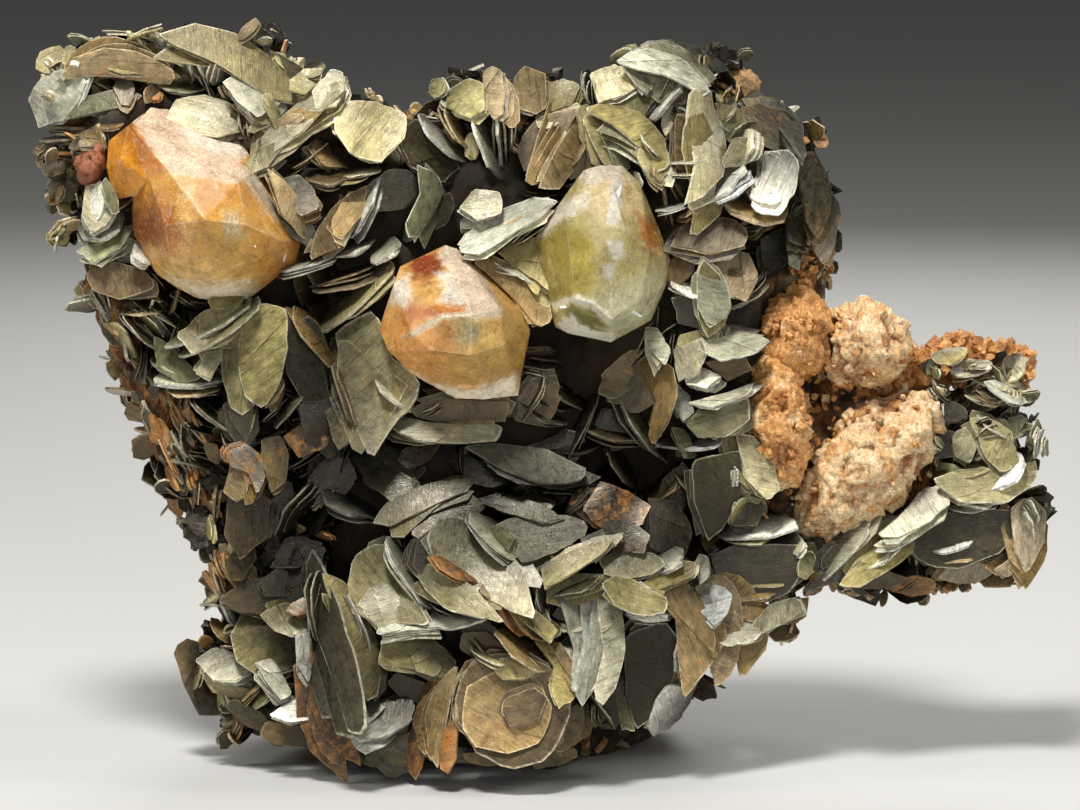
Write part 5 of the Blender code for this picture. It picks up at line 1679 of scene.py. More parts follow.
def crystal_material(name, absorb, density, transmission):
    """A clear crystal: painted zones, some of them painted glow, highlights and reflections, under
    speckles, veins and frost, over plain absorption.
    """
    material, tree, shader, output = new_material(name)
    place = attribute(tree, "grain").outputs["Vector"]
    tint = attribute(tree, "tint").outputs["Color"]
    frosted, speckled, worn = marks_of(tree)
    cloud = noise_of(tree, place, 0.34, 6.0, 0.7)
    fine = noise_of(tree, place, 1.5, 6.0, 0.8)
    grains = noise_of(tree, place, 3.6, 4.0, 0.85)
    colour = times(tree, tint, ramp(tree, cloud, (0.28, (0.62, 0.50, 0.36)), (0.46, 0.96),
                                    (0.56, 1.08), (0.70, (1.45, 1.42, 1.30))))
    colour = times(tree, colour, ramp(tree, fine, (0.32, (0.55, 0.42, 0.28)), (0.45, 0.95),
                                      (0.56, 1.05), (0.70, (1.5, 1.55, 1.6))))
    bent = node(tree, "ShaderNodeVectorMath", operation="ADD")
    wobble = node(tree, "ShaderNodeTexNoise", Scale=0.8, Detail=3.0)
    link(tree, place, wobble.inputs["Vector"])
    link(tree, place, bent.inputs[0])
    link(tree, wobble.outputs["Color"], bent.inputs[1])
    cells = node(tree, "ShaderNodeTexVoronoi", feature="DISTANCE_TO_EDGE", Scale=0.42)
    link(tree, bent.outputs[0], cells.inputs["Vector"])
    vein = ramp(tree, cells.outputs["Distance"], (0.0, 1.0), (0.030, 0.0))
    vein = product(tree, vein, ramp(tree, fine, (0.46, 0.0), (0.60, 0.8)))
    colour = mix(tree, vein, colour, mix(tree, 0.55, tint, (1.0, 0.93, 0.78)))
    dots = ramp(tree, grains, (0.56, 0.0), (0.62, 1.0))
    dots = product(tree, dots, speckled)
    colour = mix(tree, dots, colour, mix(tree, 0.5, tint, (1.0, 0.88, 0.66)))
    level = ramp(tree, grains, (0.34, (0.62, 0.50, 0.40)), (0.50, 0.95), (0.66, 1.35))
    colour = mix(tree, product(tree, frosted, 0.8), colour, times(tree, colour, level))
    pits = ramp(tree, grains, (0.26, 0.8), (0.36, 0.0))
    colour = mix(tree, pits, colour, times(tree, tint, (0.55, 0.36, 0.22)))
    chips = product(tree, ramp(tree, worn, (0.45, 0.0), (0.95, 1.0)),
                    ramp(tree, fine, (0.36, 0.1), (0.62, 0.75)))
    colour = mix(tree, chips, colour, mix(tree, 0.5, tint, (0.95, 0.87, 0.72)))
    link(tree, colour, shader.inputs["Base Color"])
    clear = maths(tree, "SUBTRACT", transmission, product(tree, frosted, 0.46))
    clear = maths(tree, "SUBTRACT", clear, product(tree, dots, 0.3), True)
    link(tree, clear, shader.inputs["Transmission Weight"])
    rough = plus(tree, product(tree, frosted, 0.34), ramp(tree, cloud, (0.3, 0.04), (0.7, 0.14)),
                 True)
    link(tree, rough, shader.inputs["Roughness"])
    relief = bump(tree, fine, 0.35, 0.00016)
    link(tree, bump(tree, grains, 0.40, 0.00010, relief), shader.inputs["Normal"])
    shader.inputs["IOR"].default_value = 1.434
    shader.inputs["Specular IOR Level"].default_value = 0.5
    volume = node(tree, "ShaderNodeVolumeAbsorption", Color=(*absorb, 1.0), Density=density)
    link(tree, volume.outputs[0], output.inputs["Volume"])
    return material


def grit_material(name, light, dark, roughness):
    """A rough granular finish between two colours."""
    material, tree, shader, _ = new_material(name)
    place = attribute(tree, "grain").outputs["Vector"]
    fine = noise_of(tree, place, 1.8, 5.0, 0.7)
    broad = noise_of(tree, place, 0.5, 4.0, 0.6)
    both = plus(tree, product(tree, fine, 0.5), product(tree, broad, 0.5))
    link(tree, ramp(tree, both, (0.36, dark), (0.62, light)), shader.inputs["Base Color"])
    link(tree, ramp(tree, fine, (0.3, roughness), (0.7, min(1.0, roughness + 0.3))),
         shader.inputs["Roughness"])
    link(tree, bump(tree, fine, 0.5, 0.0002), shader.inputs["Normal"])
    return material


# Solids whose surface is worked in detail
def detailed(name, voxel_mm, smooth=0):
    """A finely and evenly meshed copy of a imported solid."""
    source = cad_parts[name]
    mesh = source.data.copy()
    mesh.materials.clear()
    made = bpy.data.objects.new(name + "_surface", mesh)
    bpy.context.scene.collection.objects.link(made)
    remesh = made.modifiers.new("even", "REMESH")
    remesh.mode = "VOXEL"
    remesh.voxel_size = voxel_mm * MM
    graph = bpy.context.evaluated_depsgraph_get()
    fine = bpy.data.meshes.new_from_object(made.evaluated_get(graph))
    made.modifiers.clear()
    made.data = fine
    bpy.data.meshes.remove(mesh)
    if smooth:
        work = bmesh.new()
        work.from_mesh(fine)
        for _ in range(smooth):
            bmesh.ops.smooth_vert(work, verts=work.verts, factor=0.5, use_axis_x=True,
                                  use_axis_y=True, use_axis_z=True)
        work.to_mesh(fine)
        work.free()
    return made


def mesh_points(mesh):
    points = np.empty(len(mesh.vertices) * 3, np.float32)
    mesh.vertices.foreach_get("co", points)
    return points.reshape(-1, 3).astype(float) / MM


def mesh_normals(mesh):
    normals = np.empty(len(mesh.vertices) * 3, np.float32)
    mesh.vertex_normals.foreach_get("vector", normals)
    return normals.reshape(-1, 3).astype(float)


def set_points(mesh, points):
    mesh.vertices.foreach_set("co", (points * MM).astype(np.float32).ravel())
    mesh.update()


def field(points, scale, kind, octaves=4):
    """A noise value at each point."""
    values = np.empty(len(points))
    for index, point in enumerate(points):
        where = Vector(point * scale)
        if kind == "cells":
            near = noise.voronoi(where)[0]
            values[index] = near[1] - near[0]
        elif kind == "grains":
            values[index] = noise.voronoi(where)[0][0]
        else:
            values[index] = noise.fractal(where, 0.9, 2.1, octaves)
    return values


def dress(made, grain, marks, material, slot, *nodes):
    """Finish a worked solid: attributes, material and the solids it stands for, which are hidden;
    its slot is not used.
    """
    put_vector(made.data, "grain", grain)
    put_vector(made.data, "marks", marks)
    made.data.materials.clear()
    made.data.materials.append(material)
    made.data.shade_smooth()
    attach(made, "root")
    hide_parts(*nodes)


# The rock: grid, relief of its crags, pits and grains, how near a crystal its relief fades, the
# height of its foot, what stays flat below, and the fade of its stained band
ROCK_VOXEL_MM = 1.18
ROCK_CRAG_MM = 1.5
ROCK_PIT_MM = 0.75
ROCK_GRAIN_MM = 0.45
ROCK_FREE_MM = 3.0
ROCK_COVERED_MM = 0.2
ROCK_FOOT_MM = 2.5
ROCK_FLAT_MM = 0.6
ROCK_LEAST_MM = 0.3
BAND_FADE_PIXELS = 30

# Where the front of the rock, in the gaps behind the books, is painted nearly black as shade: its
# left side, which leans with the height above a base, its right side, and the fade at both
ROCK_SHADE_LEFT_MM = -52.0
ROCK_SHADE_BASE_MM = 20
ROCK_SHADE_SLOPE = 0.25
ROCK_SHADE_RIGHT_MM = 38.0
ROCK_SHADE_FADE_MM = 8.0


def build_rock():
    """The rock with its crags, pits and fibrous left edge, and its flat base kept."""
    made = detailed("matrix_rock", ROCK_VOXEL_MM)
    points = mesh_points(made.data)
    normals = mesh_normals(made.data)
    broad = field(points + 31.0, 0.16, "cells")
    rough = field(points + 7.0, 0.42, "fractal", 5)
    grain = field(points + 3.0, 0.9, "cells")
    height = ROCK_CRAG_MM * (broad - 0.35) + ROCK_PIT_MM * rough + ROCK_GRAIN_MM * (grain - 0.3)
    gaps = [[tree.find_nearest(Vector(point))[3] for tree in CRYSTAL_TREES] for point in points]
    near = np.min(gaps, axis=1)
    covered = np.minimum(height, ROCK_COVERED_MM) * np.clip(near / ROCK_FREE_MM, 0.0, 1.0) ** 0.5
    height = np.where(near < ROCK_FREE_MM, covered, height)
    foot = np.clip(points[:, 2] / ROCK_FOOT_MM, 0.0, 1.0)
    moved = points + normals * (height * foot)[:, None]
    risen = np.maximum(moved[:, 2], ROCK_LEAST_MM)
    moved[:, 2] = np.where(points[:, 2] < ROCK_FLAT_MM, points[:, 2], risen)
    set_points(made.data, moved)
    # painted shade: the rock's front behind the books, between its left and right sides, is made
    # nearly black
    front = np.clip((-normals[:, 1] - 0.1) * 1.4, 0, 1)
    lean = (points[:, 2] - ROCK_SHADE_BASE_MM) * ROCK_SHADE_SLOPE
    front = front * np.clip((points[:, 0] - ROCK_SHADE_LEFT_MM + lean) / ROCK_SHADE_FADE_MM, 0, 1)
    front = front * np.clip((ROCK_SHADE_RIGHT_MM - points[:, 0]) / ROCK_SHADE_FADE_MM, 0, 1)
    band = soft_zone(pixels_of(points), BAND, BAND_FADE_PIXELS)
    band = band * np.clip(-normals[:, 1] + 0.6, 0, 1)
    front = front * (1 - band)
    # marks: the relief's height, whose low places are painted darker as shade, the painted shade of
    # the front, and the stained band
    marks = np.stack((0.5 + height / 3.0, front, band), 1)
    dress(made, points, marks, rock_material(), "rock", "matrix_rock")
    made.name = "rock_surface"
    return made


def soft_zone(pixels, corners, fade):
    """How far pixels are inside an outline, from 0 to 1 over a fade in pixels."""
    corners = np.array(corners, float)
    after = np.roll(corners, -1, 0)
    best = np.full(len(pixels), 1e9)
    for start, end in zip(corners, after):
        run = end - start
        share = np.clip(((pixels - start) @ run) / (run @ run), 0, 1)
        gap = np.linalg.norm(pixels - (start + share[:, None] * run), axis=1)
        best = np.minimum(best, gap)
    is_in = np.array([inside(u, v, corners) for u, v in pixels])
    signed = np.where(is_in, best, -best)
    return np.clip(signed / fade * 0.5 + 0.5, 0, 1)


# Zones of the crystals, painted one over another: outline in the picture, softness of its edge in
# pixels, colour, frost, specks, and the least upward lean of a face that takes it, if any. The
# first zone of each is the whole crystal. Some zones are painted light: a pale painted glow along
# the bottoms where light passes through, and painted highlights and reflections on some faces
Zone = namedtuple("Zone", "corners fade colour frost specks lean", defaults=(None,))
WHOLE = ()
WANDER_PIXELS = 6.0
LEAN_GAIN = 5.0
PAINT = {
    "fluorite_upper_left": (
        Zone(WHOLE, 0, (1.0, 0.53, 0.08), 0.06, 0.35),
        Zone(((100, 112), (134, 120), (166, 172), (150, 184), (117, 202), (102, 170)), 7,
             (1.0, 0.42, 0.03), 0.1, 0.1),
        Zone(((118, 120), (132, 122), (166, 170), (156, 178), (140, 160), (124, 138)), 6,
             (0.62, 0.21, 0.02), 0.05, 0.05),
        Zone(((146, 196), (192, 190), (200, 212), (190, 250), (160, 254), (136, 238), (136, 214)),
             16, (0.56, 0.19, 0.016), 0.12, 0.9),
        Zone(((136, 214), (154, 214), (158, 240), (140, 246)), 9, (0.3, 0.08, 0.012), 0.15, 0.3),
        Zone(((165, 180), (250, 178), (262, 200), (230, 208), (170, 200)), 9, (0.72, 0.33, 0.05),
             0.2, 0.6),
        Zone(((176, 180), (196, 180), (196, 256), (178, 256)), 8, (0.86, 0.5, 0.15), 0.3, 1.0),
        Zone(((206, 232), (244, 226), (250, 262), (220, 272), (204, 258)), 14, (0.84, 0.52, 0.12),
             0.05, 0.4),
        Zone(((222, 212), (240, 212), (242, 236), (226, 240)), 4, (0.62, 0.48, 0.24), 0.55, 1.0),
        Zone(((268, 214), (300, 226), (306, 250), (290, 276), (266, 284), (262, 246)), 12,
             (0.9, 0.5, 0.13), 0.05, 0.1),
        # painted glow: light passing through, pale along the bottom
        Zone(((150, 262), (180, 262), (236, 268), (262, 276), (252, 306), (196, 304), (150, 282)),
             11, (1.0, 0.68, 0.24), 0.35, 0.3),
        # painted glow: the palest band at the bottom, partly frost
        Zone(((168, 278), (200, 282), (246, 282), (262, 288), (247, 306), (199, 304)), 6,
             (1.0, 0.9, 0.66), 0.8, 0.4),
        Zone(((236, 164), (254, 166), (274, 198), (288, 220), (276, 222), (260, 204), (244, 184)),
             4, (0.55, 0.45, 0.32), 0.8, 0.7),
        Zone(((128, 116), (149, 104), (167, 105), (186, 120), (211, 131), (242, 138), (251, 152),
              (238, 166), (252, 171), (238, 184), (205, 179), (169, 175)), 2, (0.62, 0.46, 0.33),
             1.0, 0.8, 0.45),
        # painted highlight: a paler strip on the frosted top face
        Zone(((184, 124), (206, 130), (244, 142), (246, 154), (214, 150), (188, 140)), 6,
             (0.76, 0.68, 0.57), 1.0, 0.8, 0.45),
    ),
    "fluorite_centre": (
        Zone(WHOLE, 0, (0.92, 0.55, 0.17), 0.08, 0.3),
        Zone(((374, 320), (420, 312), (446, 330), (440, 374), (400, 372), (378, 350)), 16,
             (1.0, 0.48, 0.12), 0.08, 0.3),
        Zone(((470, 318), (534, 316), (534, 366), (500, 384), (466, 366)), 16, (0.9, 0.6, 0.18),
             0.05, 0.15),
        Zone(((436, 318), (458, 318), (460, 346), (438, 350)), 9, (0.46, 0.24, 0.07), 0.05, 0.3),
        Zone(((458, 318), (480, 320), (478, 344), (460, 344)), 8, (0.42, 0.4, 0.22), 0.05, 0.3),
        Zone(((402, 306), (430, 306), (470, 304), (472, 314), (440, 318), (404, 326)), 5,
             (0.74, 0.24, 0.05), 0.05, 0.2),
        Zone(((408, 258), (432, 250), (446, 262), (442, 276), (412, 282)), 5, (0.36, 0.075, 0.02),
             0.05, 0.0),
        Zone(((388, 304), (394, 280), (408, 274), (412, 290), (406, 308)), 4, (0.57, 0.5, 0.41),
             0.9, 0.5),
        # painted highlight on small glassy faces, partly frost
        Zone(((434, 272), (456, 272), (474, 300), (462, 306), (438, 303), (444, 288)), 3,
             (0.59, 0.53, 0.44), 0.7, 0.6),
        Zone(((444, 243), (458, 245), (476, 263), (504, 309), (500, 318), (470, 319), (456, 286),
              (438, 256)), 3, (0.55, 0.44, 0.33), 0.85, 0.9),
        Zone(((400, 336), (412, 330), (442, 313), (472, 311), (502, 307), (502, 313), (472, 318),
              (444, 320), (414, 338)), 2, (0.58, 0.48, 0.32), 0.6, 0.4),
        # painted glow along the bottom, partly frost
        Zone(((410, 372), (436, 384), (470, 390), (516, 374), (522, 400), (482, 404), (450, 400)),
             5, (1.0, 0.93, 0.74), 0.8, 0.2),
    ),
    "fluorite_upper_right": (
        Zone(WHOLE, 0, (0.72, 0.64, 0.29), 0.05, 0.35),
        Zone(((534, 238), (566, 216), (588, 212), (602, 250), (600, 290), (560, 302), (545, 273)),
             12, (0.62, 0.5, 0.11), 0.05, 0.25),
        Zone(((582, 174), (632, 172), (646, 204), (640, 222), (590, 216)), 10, (0.74, 0.56, 0.28),
             0.45, 1.0),
        Zone(((600, 232), (640, 236), (646, 290), (600, 292)), 14, (0.7, 0.6, 0.23), 0.05, 0.9),
        Zone(((638, 214), (658, 220), (664, 248), (650, 254), (638, 238)), 6, (0.62, 0.25, 0.05),
             0.15, 0.3),
        Zone(((600, 292), (670, 268), (668, 310), (644, 338), (612, 348), (596, 326)), 13,
             (0.86, 0.86, 0.56), 0.3, 0.5),
        Zone(((568, 308), (600, 310), (602, 330), (574, 328)), 4, (0.36, 0.38, 0.15), 0.0, 0.1),
        # painted glow along the bottom, partly frost
        Zone(((550, 303), (578, 294), (594, 300), (614, 318), (608, 324), (590, 309), (570, 303),
              (556, 310)), 2, (0.9, 0.88, 0.74), 0.8, 0.4),
        # painted glow: the palest band at the bottom, partly frost
        Zone(((556, 322), (570, 316), (592, 330), (616, 334), (612, 348), (568, 340)), 3,
             (1.0, 1.0, 0.88), 0.85, 0.3),
        Zone(((532, 232), (554, 206), (586, 190), (592, 198), (586, 209), (564, 218), (538, 241)),
             3, (0.58, 0.53, 0.43), 0.9, 0.6),
        Zone(((578, 176), (600, 162), (626, 164), (632, 178), (606, 180), (586, 190)), 4,
             (0.55, 0.5, 0.4), 0.8, 0.8),
        # three painted reflections on upward faces
        Zone(((612, 178), (624, 180), (616, 226), (606, 224)), 2, (0.59, 0.56, 0.47), 0.9, 0.0),
        Zone(((606, 240), (622, 240), (626, 256), (612, 262)), 2, (0.59, 0.56, 0.47), 0.8, 0.0),
        Zone(((602, 266), (616, 264), (614, 280), (602, 278)), 2, (0.59, 0.56, 0.47), 0.7, 0.0),
    ),
}


def painted(points, normals, zones):
    """Colour, frost and specks at each point of a crystal, from its zones, among them painted glow,
    highlights and reflections.
    """
    pixels = pixels_of(points)
    wander = np.stack([field(points + shift, 0.7, "fractal") for shift in (0.0, 40.0)], 1)
    colour = np.zeros((len(points), 3))
    marks = np.zeros((len(points), 3))
    for zone in zones:
        share = np.ones(len(points))
        if zone.corners:
            moved = pixels + wander * min(WANDER_PIXELS, zone.fade)
            share = soft_zone(moved, zone.corners, zone.fade)
        if zone.lean is not None:
            share = share * np.clip((normals[:, 2] - zone.lean) * LEAN_GAIN, 0, 1)
        colour += (np.array(zone.colour) - colour) * share[:, None]
        own = np.array((zone.frost, zone.specks, 0.0))
        marks += (own - marks) * share[:, None]
    return colour, marks


# Facets: longest edge of the triangles they are cut into, how often they are cut at most, and the
# angle from which an edge between two of them is sharp
FACET_STEP_MM = 0.54
FACET_CUTS = 10
FACET_DEG = 14.0


def faceted(name):
    """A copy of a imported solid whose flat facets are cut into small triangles, and how worn each
    point is: points on an edge between two facets are, and the rest are not."""
    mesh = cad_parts[name].data.copy()
    mesh.materials.clear()
    work = bmesh.new()
    work.from_mesh(mesh)
    bmesh.ops.remove_doubles(work, verts=work.verts, dist=1e-6)
    bmesh.ops.triangulate(work, faces=work.faces)
    for _ in range(FACET_CUTS):
        long = [edge for edge in work.edges if edge.calc_length() > FACET_STEP_MM * MM]
        if not long:
            break
        bmesh.ops.subdivide_edges(work, edges=long, cuts=1)
        bmesh.ops.triangulate(work, faces=work.faces)
    worn = np.zeros(len(work.verts))
    work.verts.index_update()
    for edge in work.edges:
        if edge.is_manifold and edge.calc_face_angle() > math.radians(FACET_DEG):
            worn[edge.verts[0].index] = 1.0
            worn[edge.verts[1].index] = 1.0
    work.to_mesh(mesh)
    work.free()
    made = bpy.data.objects.new(name + "_surface", mesh)
    bpy.context.scene.collection.objects.link(made)
    mesh.shade_smooth()
    mesh.set_sharp_from_angle(angle=math.radians(FACET_DEG))
    return made, worn


# The name of each crystal's material
MATERIAL_SLOTS = {
    "fluorite_upper_left": "amber_crystal",
    "fluorite_centre": "honey_crystal",
    "fluorite_upper_right": "olive_crystal",
}

# Relief of a crystal: its waves, its etching, and how far its worn edges lie back
CRYSTAL_WAVE_MM = 0.07
CRYSTAL_ETCH_MM = 0.03
CRYSTAL_WEAR_MM = 0.05


def build_crystal(name, material):
    """A crystal with worn edges, etched faces and its painted zones."""
    made, worn = faceted(name)
    points = mesh_points(made.data)
    normals = mesh_normals(made.data)
    colour, marks = painted(points, normals, PAINT[name])
    marks[:, 2] = worn
    wave = field(points + 11.0, 0.30, "fractal", 3)
    rough = field(points + 5.0, 1.0, "fractal", 3)
    etched = CRYSTAL_ETCH_MM * rough * (0.5 + marks[:, 0])
    height = CRYSTAL_WAVE_MM * wave + etched - CRYSTAL_WEAR_MM * worn
    set_points(made.data, points + normals * height[:, None])
    put_colour(made.data, "tint", colour)
    dress(made, points, marks, material, MATERIAL_SLOTS[name], name)
    made.name = name + "_clear"
    return made


def blocks(points, scale, amount, tip):
    """Relief of broken blocks, each at its own height and tilt, and a chance value for each."""
    height = np.empty(len(points))
    chance = np.empty(len(points))
    for index, point in enumerate(points):
        where = Vector(point * scale)
        _, seeds = noise.voronoi(where)
        seed = seeds[0]
        own = noise.cell(seed * 7.3 + Vector((3.1, 1.7, 9.2)))
        way = Vector((noise.cell(seed * 5.1) - 0.5, noise.cell(seed * 3.7) - 0.5,
                      noise.cell(seed * 9.9) - 0.5))
        height[index] = 0.5 * amount * own + tip * way.dot(where - seed) / scale
        chance[index] = 0.5 + 0.5 * own
    return height, chance


# Lumps: grid in mm, blocks per mm, height of the blocks and of the swells, and warmth
Lump = namedtuple("Lump", "voxel scale block_mm broad_mm warm")
FELDSPAR_LUMPS = {
    "feldspar_ridge": Lump(0.36, 0.30, 0.8, 0.9, 0.16),
    "feldspar_slab": Lump(0.36, 0.28, 0.6, 0.7, 0.42),
    "feldspar_chunk": Lump(0.36, 0.30, 0.8, 0.8, 0.52),
    "feldspar_knob": Lump(0.36, 0.28, 0.8, 0.8, 0.16),
}
RED_LUMP = Lump(0.3, 0.4, 0.2, 0.2, 0.0)
BROWN_LUMP = Lump(0.3, 0.5, 0.4, 0.4, 0.0)


def build_grit(name, material, slot, lump):
    """A granular lump of broken blocks and grains, with pits and broader swells."""
    made = detailed(name, lump.voxel, 1)
    points = mesh_points(made.data)
    normals = mesh_normals(made.data)
    wander = np.stack([field(points + shift, 0.5, "fractal", 3) for shift in (0.0, 20.0, 50.0)], 1)
    coarse, _ = blocks(points + wander * 0.6, lump.scale, lump.block_mm, 0.20)
    small, own = blocks(points + 9.0, lump.scale * 3.2, lump.block_mm * 0.25, 0.25)
    broad = field(points + 17.0, 0.16, "fractal", 4)
    pits = field(points + 23.0, 0.30, "grains")
    pitted = lump.broad_mm * 1.3 * np.clip(0.22 - pits, 0, 1) * 4
    height = coarse + small + lump.broad_mm * broad - pitted
    set_points(made.data, points + normals * height[:, None])
    span = lump.block_mm + lump.broad_mm
    marks = np.stack((0.55 + height / span * 0.55, np.full(len(points), lump.warm), own), 1)
    dress(made, points, marks, material, slot, name)
    made.name = name + "_grains"
    return made


# Rubble of small blocks: its area in the picture, how many are tried, half size, warmth, and the
# solids that it lies on
Rubble = namedtuple("Rubble", "corners count size warm tree")
RUBBLES = (
    Rubble(((748, 318), (802, 298), (826, 330), (826, 380), (820, 440), (780, 484), (748, 430),
            (770, 347)), 120, (0.3, 1.0), (0.3, 0.8), FELDSPAR_TREE),
    Rubble(((806, 300), (836, 298), (890, 320), (904, 350), (886, 376), (850, 388), (820, 372)),
           60, (0.3, 0.9), (0.0, 0.35), FELDSPAR_TREE),
    Rubble(((800, 380), (866, 380), (870, 410), (836, 432), (806, 482), (786, 500), (790, 440)),
           130, (0.3, 0.9), (0.1, 0.7), FELDSPAR_TREE),
    Rubble(((778, 500), (836, 425), (867, 400), (867, 385), (905, 365), (938, 400), (938, 440),
            (930, 480), (905, 495), (868, 516), (840, 536), (800, 534)), 150, (0.3, 0.9),
           (0.0, 0.55), FELDSPAR_TREE),
    Rubble(((900, 352), (936, 340), (990, 338), (1036, 354), (1030, 368), (990, 356), (940, 368),
            (920, 392), (902, 372)), 330, (0.3, 1.1), (0.5, 1.0), ALL_TREE),
    Rubble(((788, 254), (820, 244), (822, 266), (804, 288), (794, 302)), 60, (0.3, 0.9),
           (0.5, 1.0), FELDSPAR_TREE),
)


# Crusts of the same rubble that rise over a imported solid: a run of pixels with their depths in
# mm, its half width in mm, how many blocks, their half size and their warmth
Heap = namedtuple("Heap", "line width count size warm")
HEAPS = (
    Heap(((893, 374, 4.0), (915, 360, 4.5), (940, 352, 5.0), (966, 348, 6.0), (996, 353, 6.0),
          (1014, 360, 6.0), (1024, 370, 6.0)), 1.6, 360, (0.6, 1.5), (0.4, 1.0)),
    Heap(((900, 388, 4.0), (935, 374, 5.0), (975, 370, 6.0), (1015, 384, 6.0)), 2.0, 240,
         (0.7, 1.6), (0.4, 1.0)),
    Heap(((868, 392, 3.0), (884, 376, 3.0), (900, 362, 3.5)), 1.2, 110, (0.5, 1.3), (0.1, 0.8)),
)


def heap_places(rng):
    """Where the blocks of the heaps lie, with their half sizes and warmths."""
    for heap in HEAPS:
        line = np.array(heap.line)
        run = np.linspace(0.0, 1.0, len(line))
        for share in rng.uniform(0, 1, heap.count):
            u, v, depth = (np.interp(share, run, line[:, axis]) for axis in range(3))
            place = at_depth(u, v, depth) + rng.normal(0, heap.width * 0.5, 3)
            yield place, rng.uniform(*heap.size), rng.uniform(*heap.warm)


WHITE = (1.0, 1.0, 1.0)


def plain(colour, stain=0.0):
    """The tone of a leaf in one colour, for add_leaf."""
    colour = np.array(colour)
    return ((colour, colour), stain, 0.0, np.zeros(2))


def straight(flat):
    """No bend at all."""
    return np.zeros(len(flat))


def add_block(pile, place, size, warm, rng):
    """One small broken block, turned any way."""
    plane = turned_plane(place, unit(rng.normal(0, 1, 3)), rng)
    outline = counterclockwise(leaf(rng, size, size * rng.uniform(0.5, 1.0), 5))
    half = size * rng.uniform(0.3, 0.9)
    add_leaf(pile, plane, outline, -half, half, plain(WHITE), straight, rng, (), True, 0.0)
    pile.grain[-1] = pile.points[-1].copy()
    marks = (rng.uniform(0.2, 0.8), warm, rng.uniform())
    pile.marks[-1] = np.tile(marks, (len(pile.points[-1]), 1))


def build_rubble(material):
    """Small broken blocks that lie on the feldspar and fill the gaps between its lumps."""
    rng = np.random.default_rng(SEED + 7)
    pile = Pile()
    for rubble in RUBBLES:
        for _ in range(rubble.count):
            pixel = random_pixel(rubble.corners, rng)
            point, normal = seen_on(rubble.tree, *pixel) if pixel else (None, None)
            if point is None:
                continue
            size = rng.uniform(*rubble.size) * rng.uniform(0.5, 1.0)
            place = np.array(point) + np.array(normal) * rng.uniform(-0.3, 0.5) * size
            add_block(pile, place, size, rng.uniform(*rubble.warm), rng)
    for place, size, warm in heap_places(rng):
        add_block(pile, place, size, warm, rng)
    made = pile.make("feldspar_rubble", 25.0)
    made.data.materials.append(material)
    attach(made, "root")


# Inclusions sealed in the crystals: pixel of the middle, half sizes and turn in the picture, and
# kind. Then how many specks a crystal has, and each kind's colour and stain
Streak = namedtuple("Streak", "u v long short turn kind")
STREAKS = {
    "fluorite_upper_left": (
        Streak(232, 225, 6, 4, 60, "veil"), Streak(214, 250, 8, 2, 40, "veil"),
        Streak(186, 215, 20, 1.6, 88, "veil"), Streak(205, 268, 14, 2, 5, "veil"),
        Streak(286, 250, 14, 1.5, 80, "veil"), Streak(292, 246, 12, 1.5, 78, "gold"),
        Streak(146, 228, 7, 5, 0, "rust"), Streak(172, 236, 8, 4, -40, "gold"),
        Streak(125, 160, 10, 3, -60, "gold"), Streak(196, 200, 8, 3, 30, "gold"),
        Streak(250, 240, 10, 2, -50, "veil"), Streak(240, 262, 9, 2, 20, "veil"),
    ),
    "fluorite_centre": (
        Streak(445, 278, 9, 3, 5, "veil"), Streak(450, 296, 9, 3, 15, "veil"),
        Streak(426, 266, 8, 4, 10, "rust"), Streak(466, 330, 6, 4, 60, "dark"),
        Streak(446, 334, 6, 4, 30, "rust"), Streak(414, 350, 10, 2, -50, "veil"),
        Streak(500, 350, 9, 2, 60, "gold"), Streak(465, 385, 20, 3, 0, "veil"),
        Streak(488, 338, 12, 2, 30, "veil"),
    ),
    "fluorite_upper_right": (
        Streak(615, 202, 18, 3, 72, "veil"), Streak(614, 250, 7, 4, -40, "veil"),
        Streak(610, 272, 6, 3, 40, "veil"), Streak(596, 206, 9, 3, 60, "veil"),
        Streak(584, 322, 9, 4, -20, "dark"), Streak(590, 312, 20, 2, -25, "veil"),
        Streak(568, 306, 10, 2, 10, "veil"), Streak(650, 234, 6, 8, 0, "rust"),
        Streak(640, 280, 14, 2, 70, "veil"), Streak(575, 262, 12, 2, 60, "gold"),
        Streak(630, 310, 14, 2, -30, "veil"), Streak(632, 256, 10, 1.6, 80, "veil"),
    ),
}
SPECKS = {"fluorite_upper_left": 160, "fluorite_centre": 90, "fluorite_upper_right": 150}
INCLUSION_TINTS = {
    "veil": ((0.95, 0.93, 0.88), 0.0), "rust": ((0.36, 0.14, 0.03), 0.6),
    "gold": ((0.80, 0.52, 0.14), 0.2), "dark": ((0.10, 0.10, 0.06), 0.0),
}

# How deep they lie below the front, how thick a streak is, and the specks' depth and half size
VEIL_DEPTH_MM = 1.0
STAIN_DEPTH_MM = 2.6
STREAK_HALF_MM = 0.05
SPECK_DEPTH_MM = (0.6, 4.0)
SPECK_SIZE_MM = (0.06, 0.2)
SPECK_KINDS = ("veil", "gold", "gold", "rust")
SPECK_TRIES = 8000


def build_inclusions(name, tree, material):
    """Veils, stains and specks a little below the front of a crystal."""
    rng = np.random.default_rng(SEED + 5)
    pile = Pile()
    for streak in STREAKS[name]:
        point, _ = seen_on(tree, streak.u, streak.v)
        if point is None:
            continue
        depth = VEIL_DEPTH_MM if streak.kind == "veil" else STAIN_DEPTH_MM
        plane = plane_facing(np.array(point) + FORWARD * depth, rng.uniform(-0.3, 0.3),
                             rng.uniform(-0.2, 0.5))
        corners = flat_places(leaf_pixels(streak, rng), plane)
        outline = broken(resampled(counterclockwise(corners), 24), rng, 3.0)
        bend = bender(rng, np.abs(outline).max(), 0.15)
        tone = plain(*INCLUSION_TINTS[streak.kind])
        half = STREAK_HALF_MM
        add_leaf(pile, plane, outline, -half, half, tone, bend, rng, (0.6,), True, 0.0)
    add_specks(pile, name, tree, rng)
    made = pile.make(name + "_inclusions")
    made.data.materials.append(material)
    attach(made, "root")
    return made


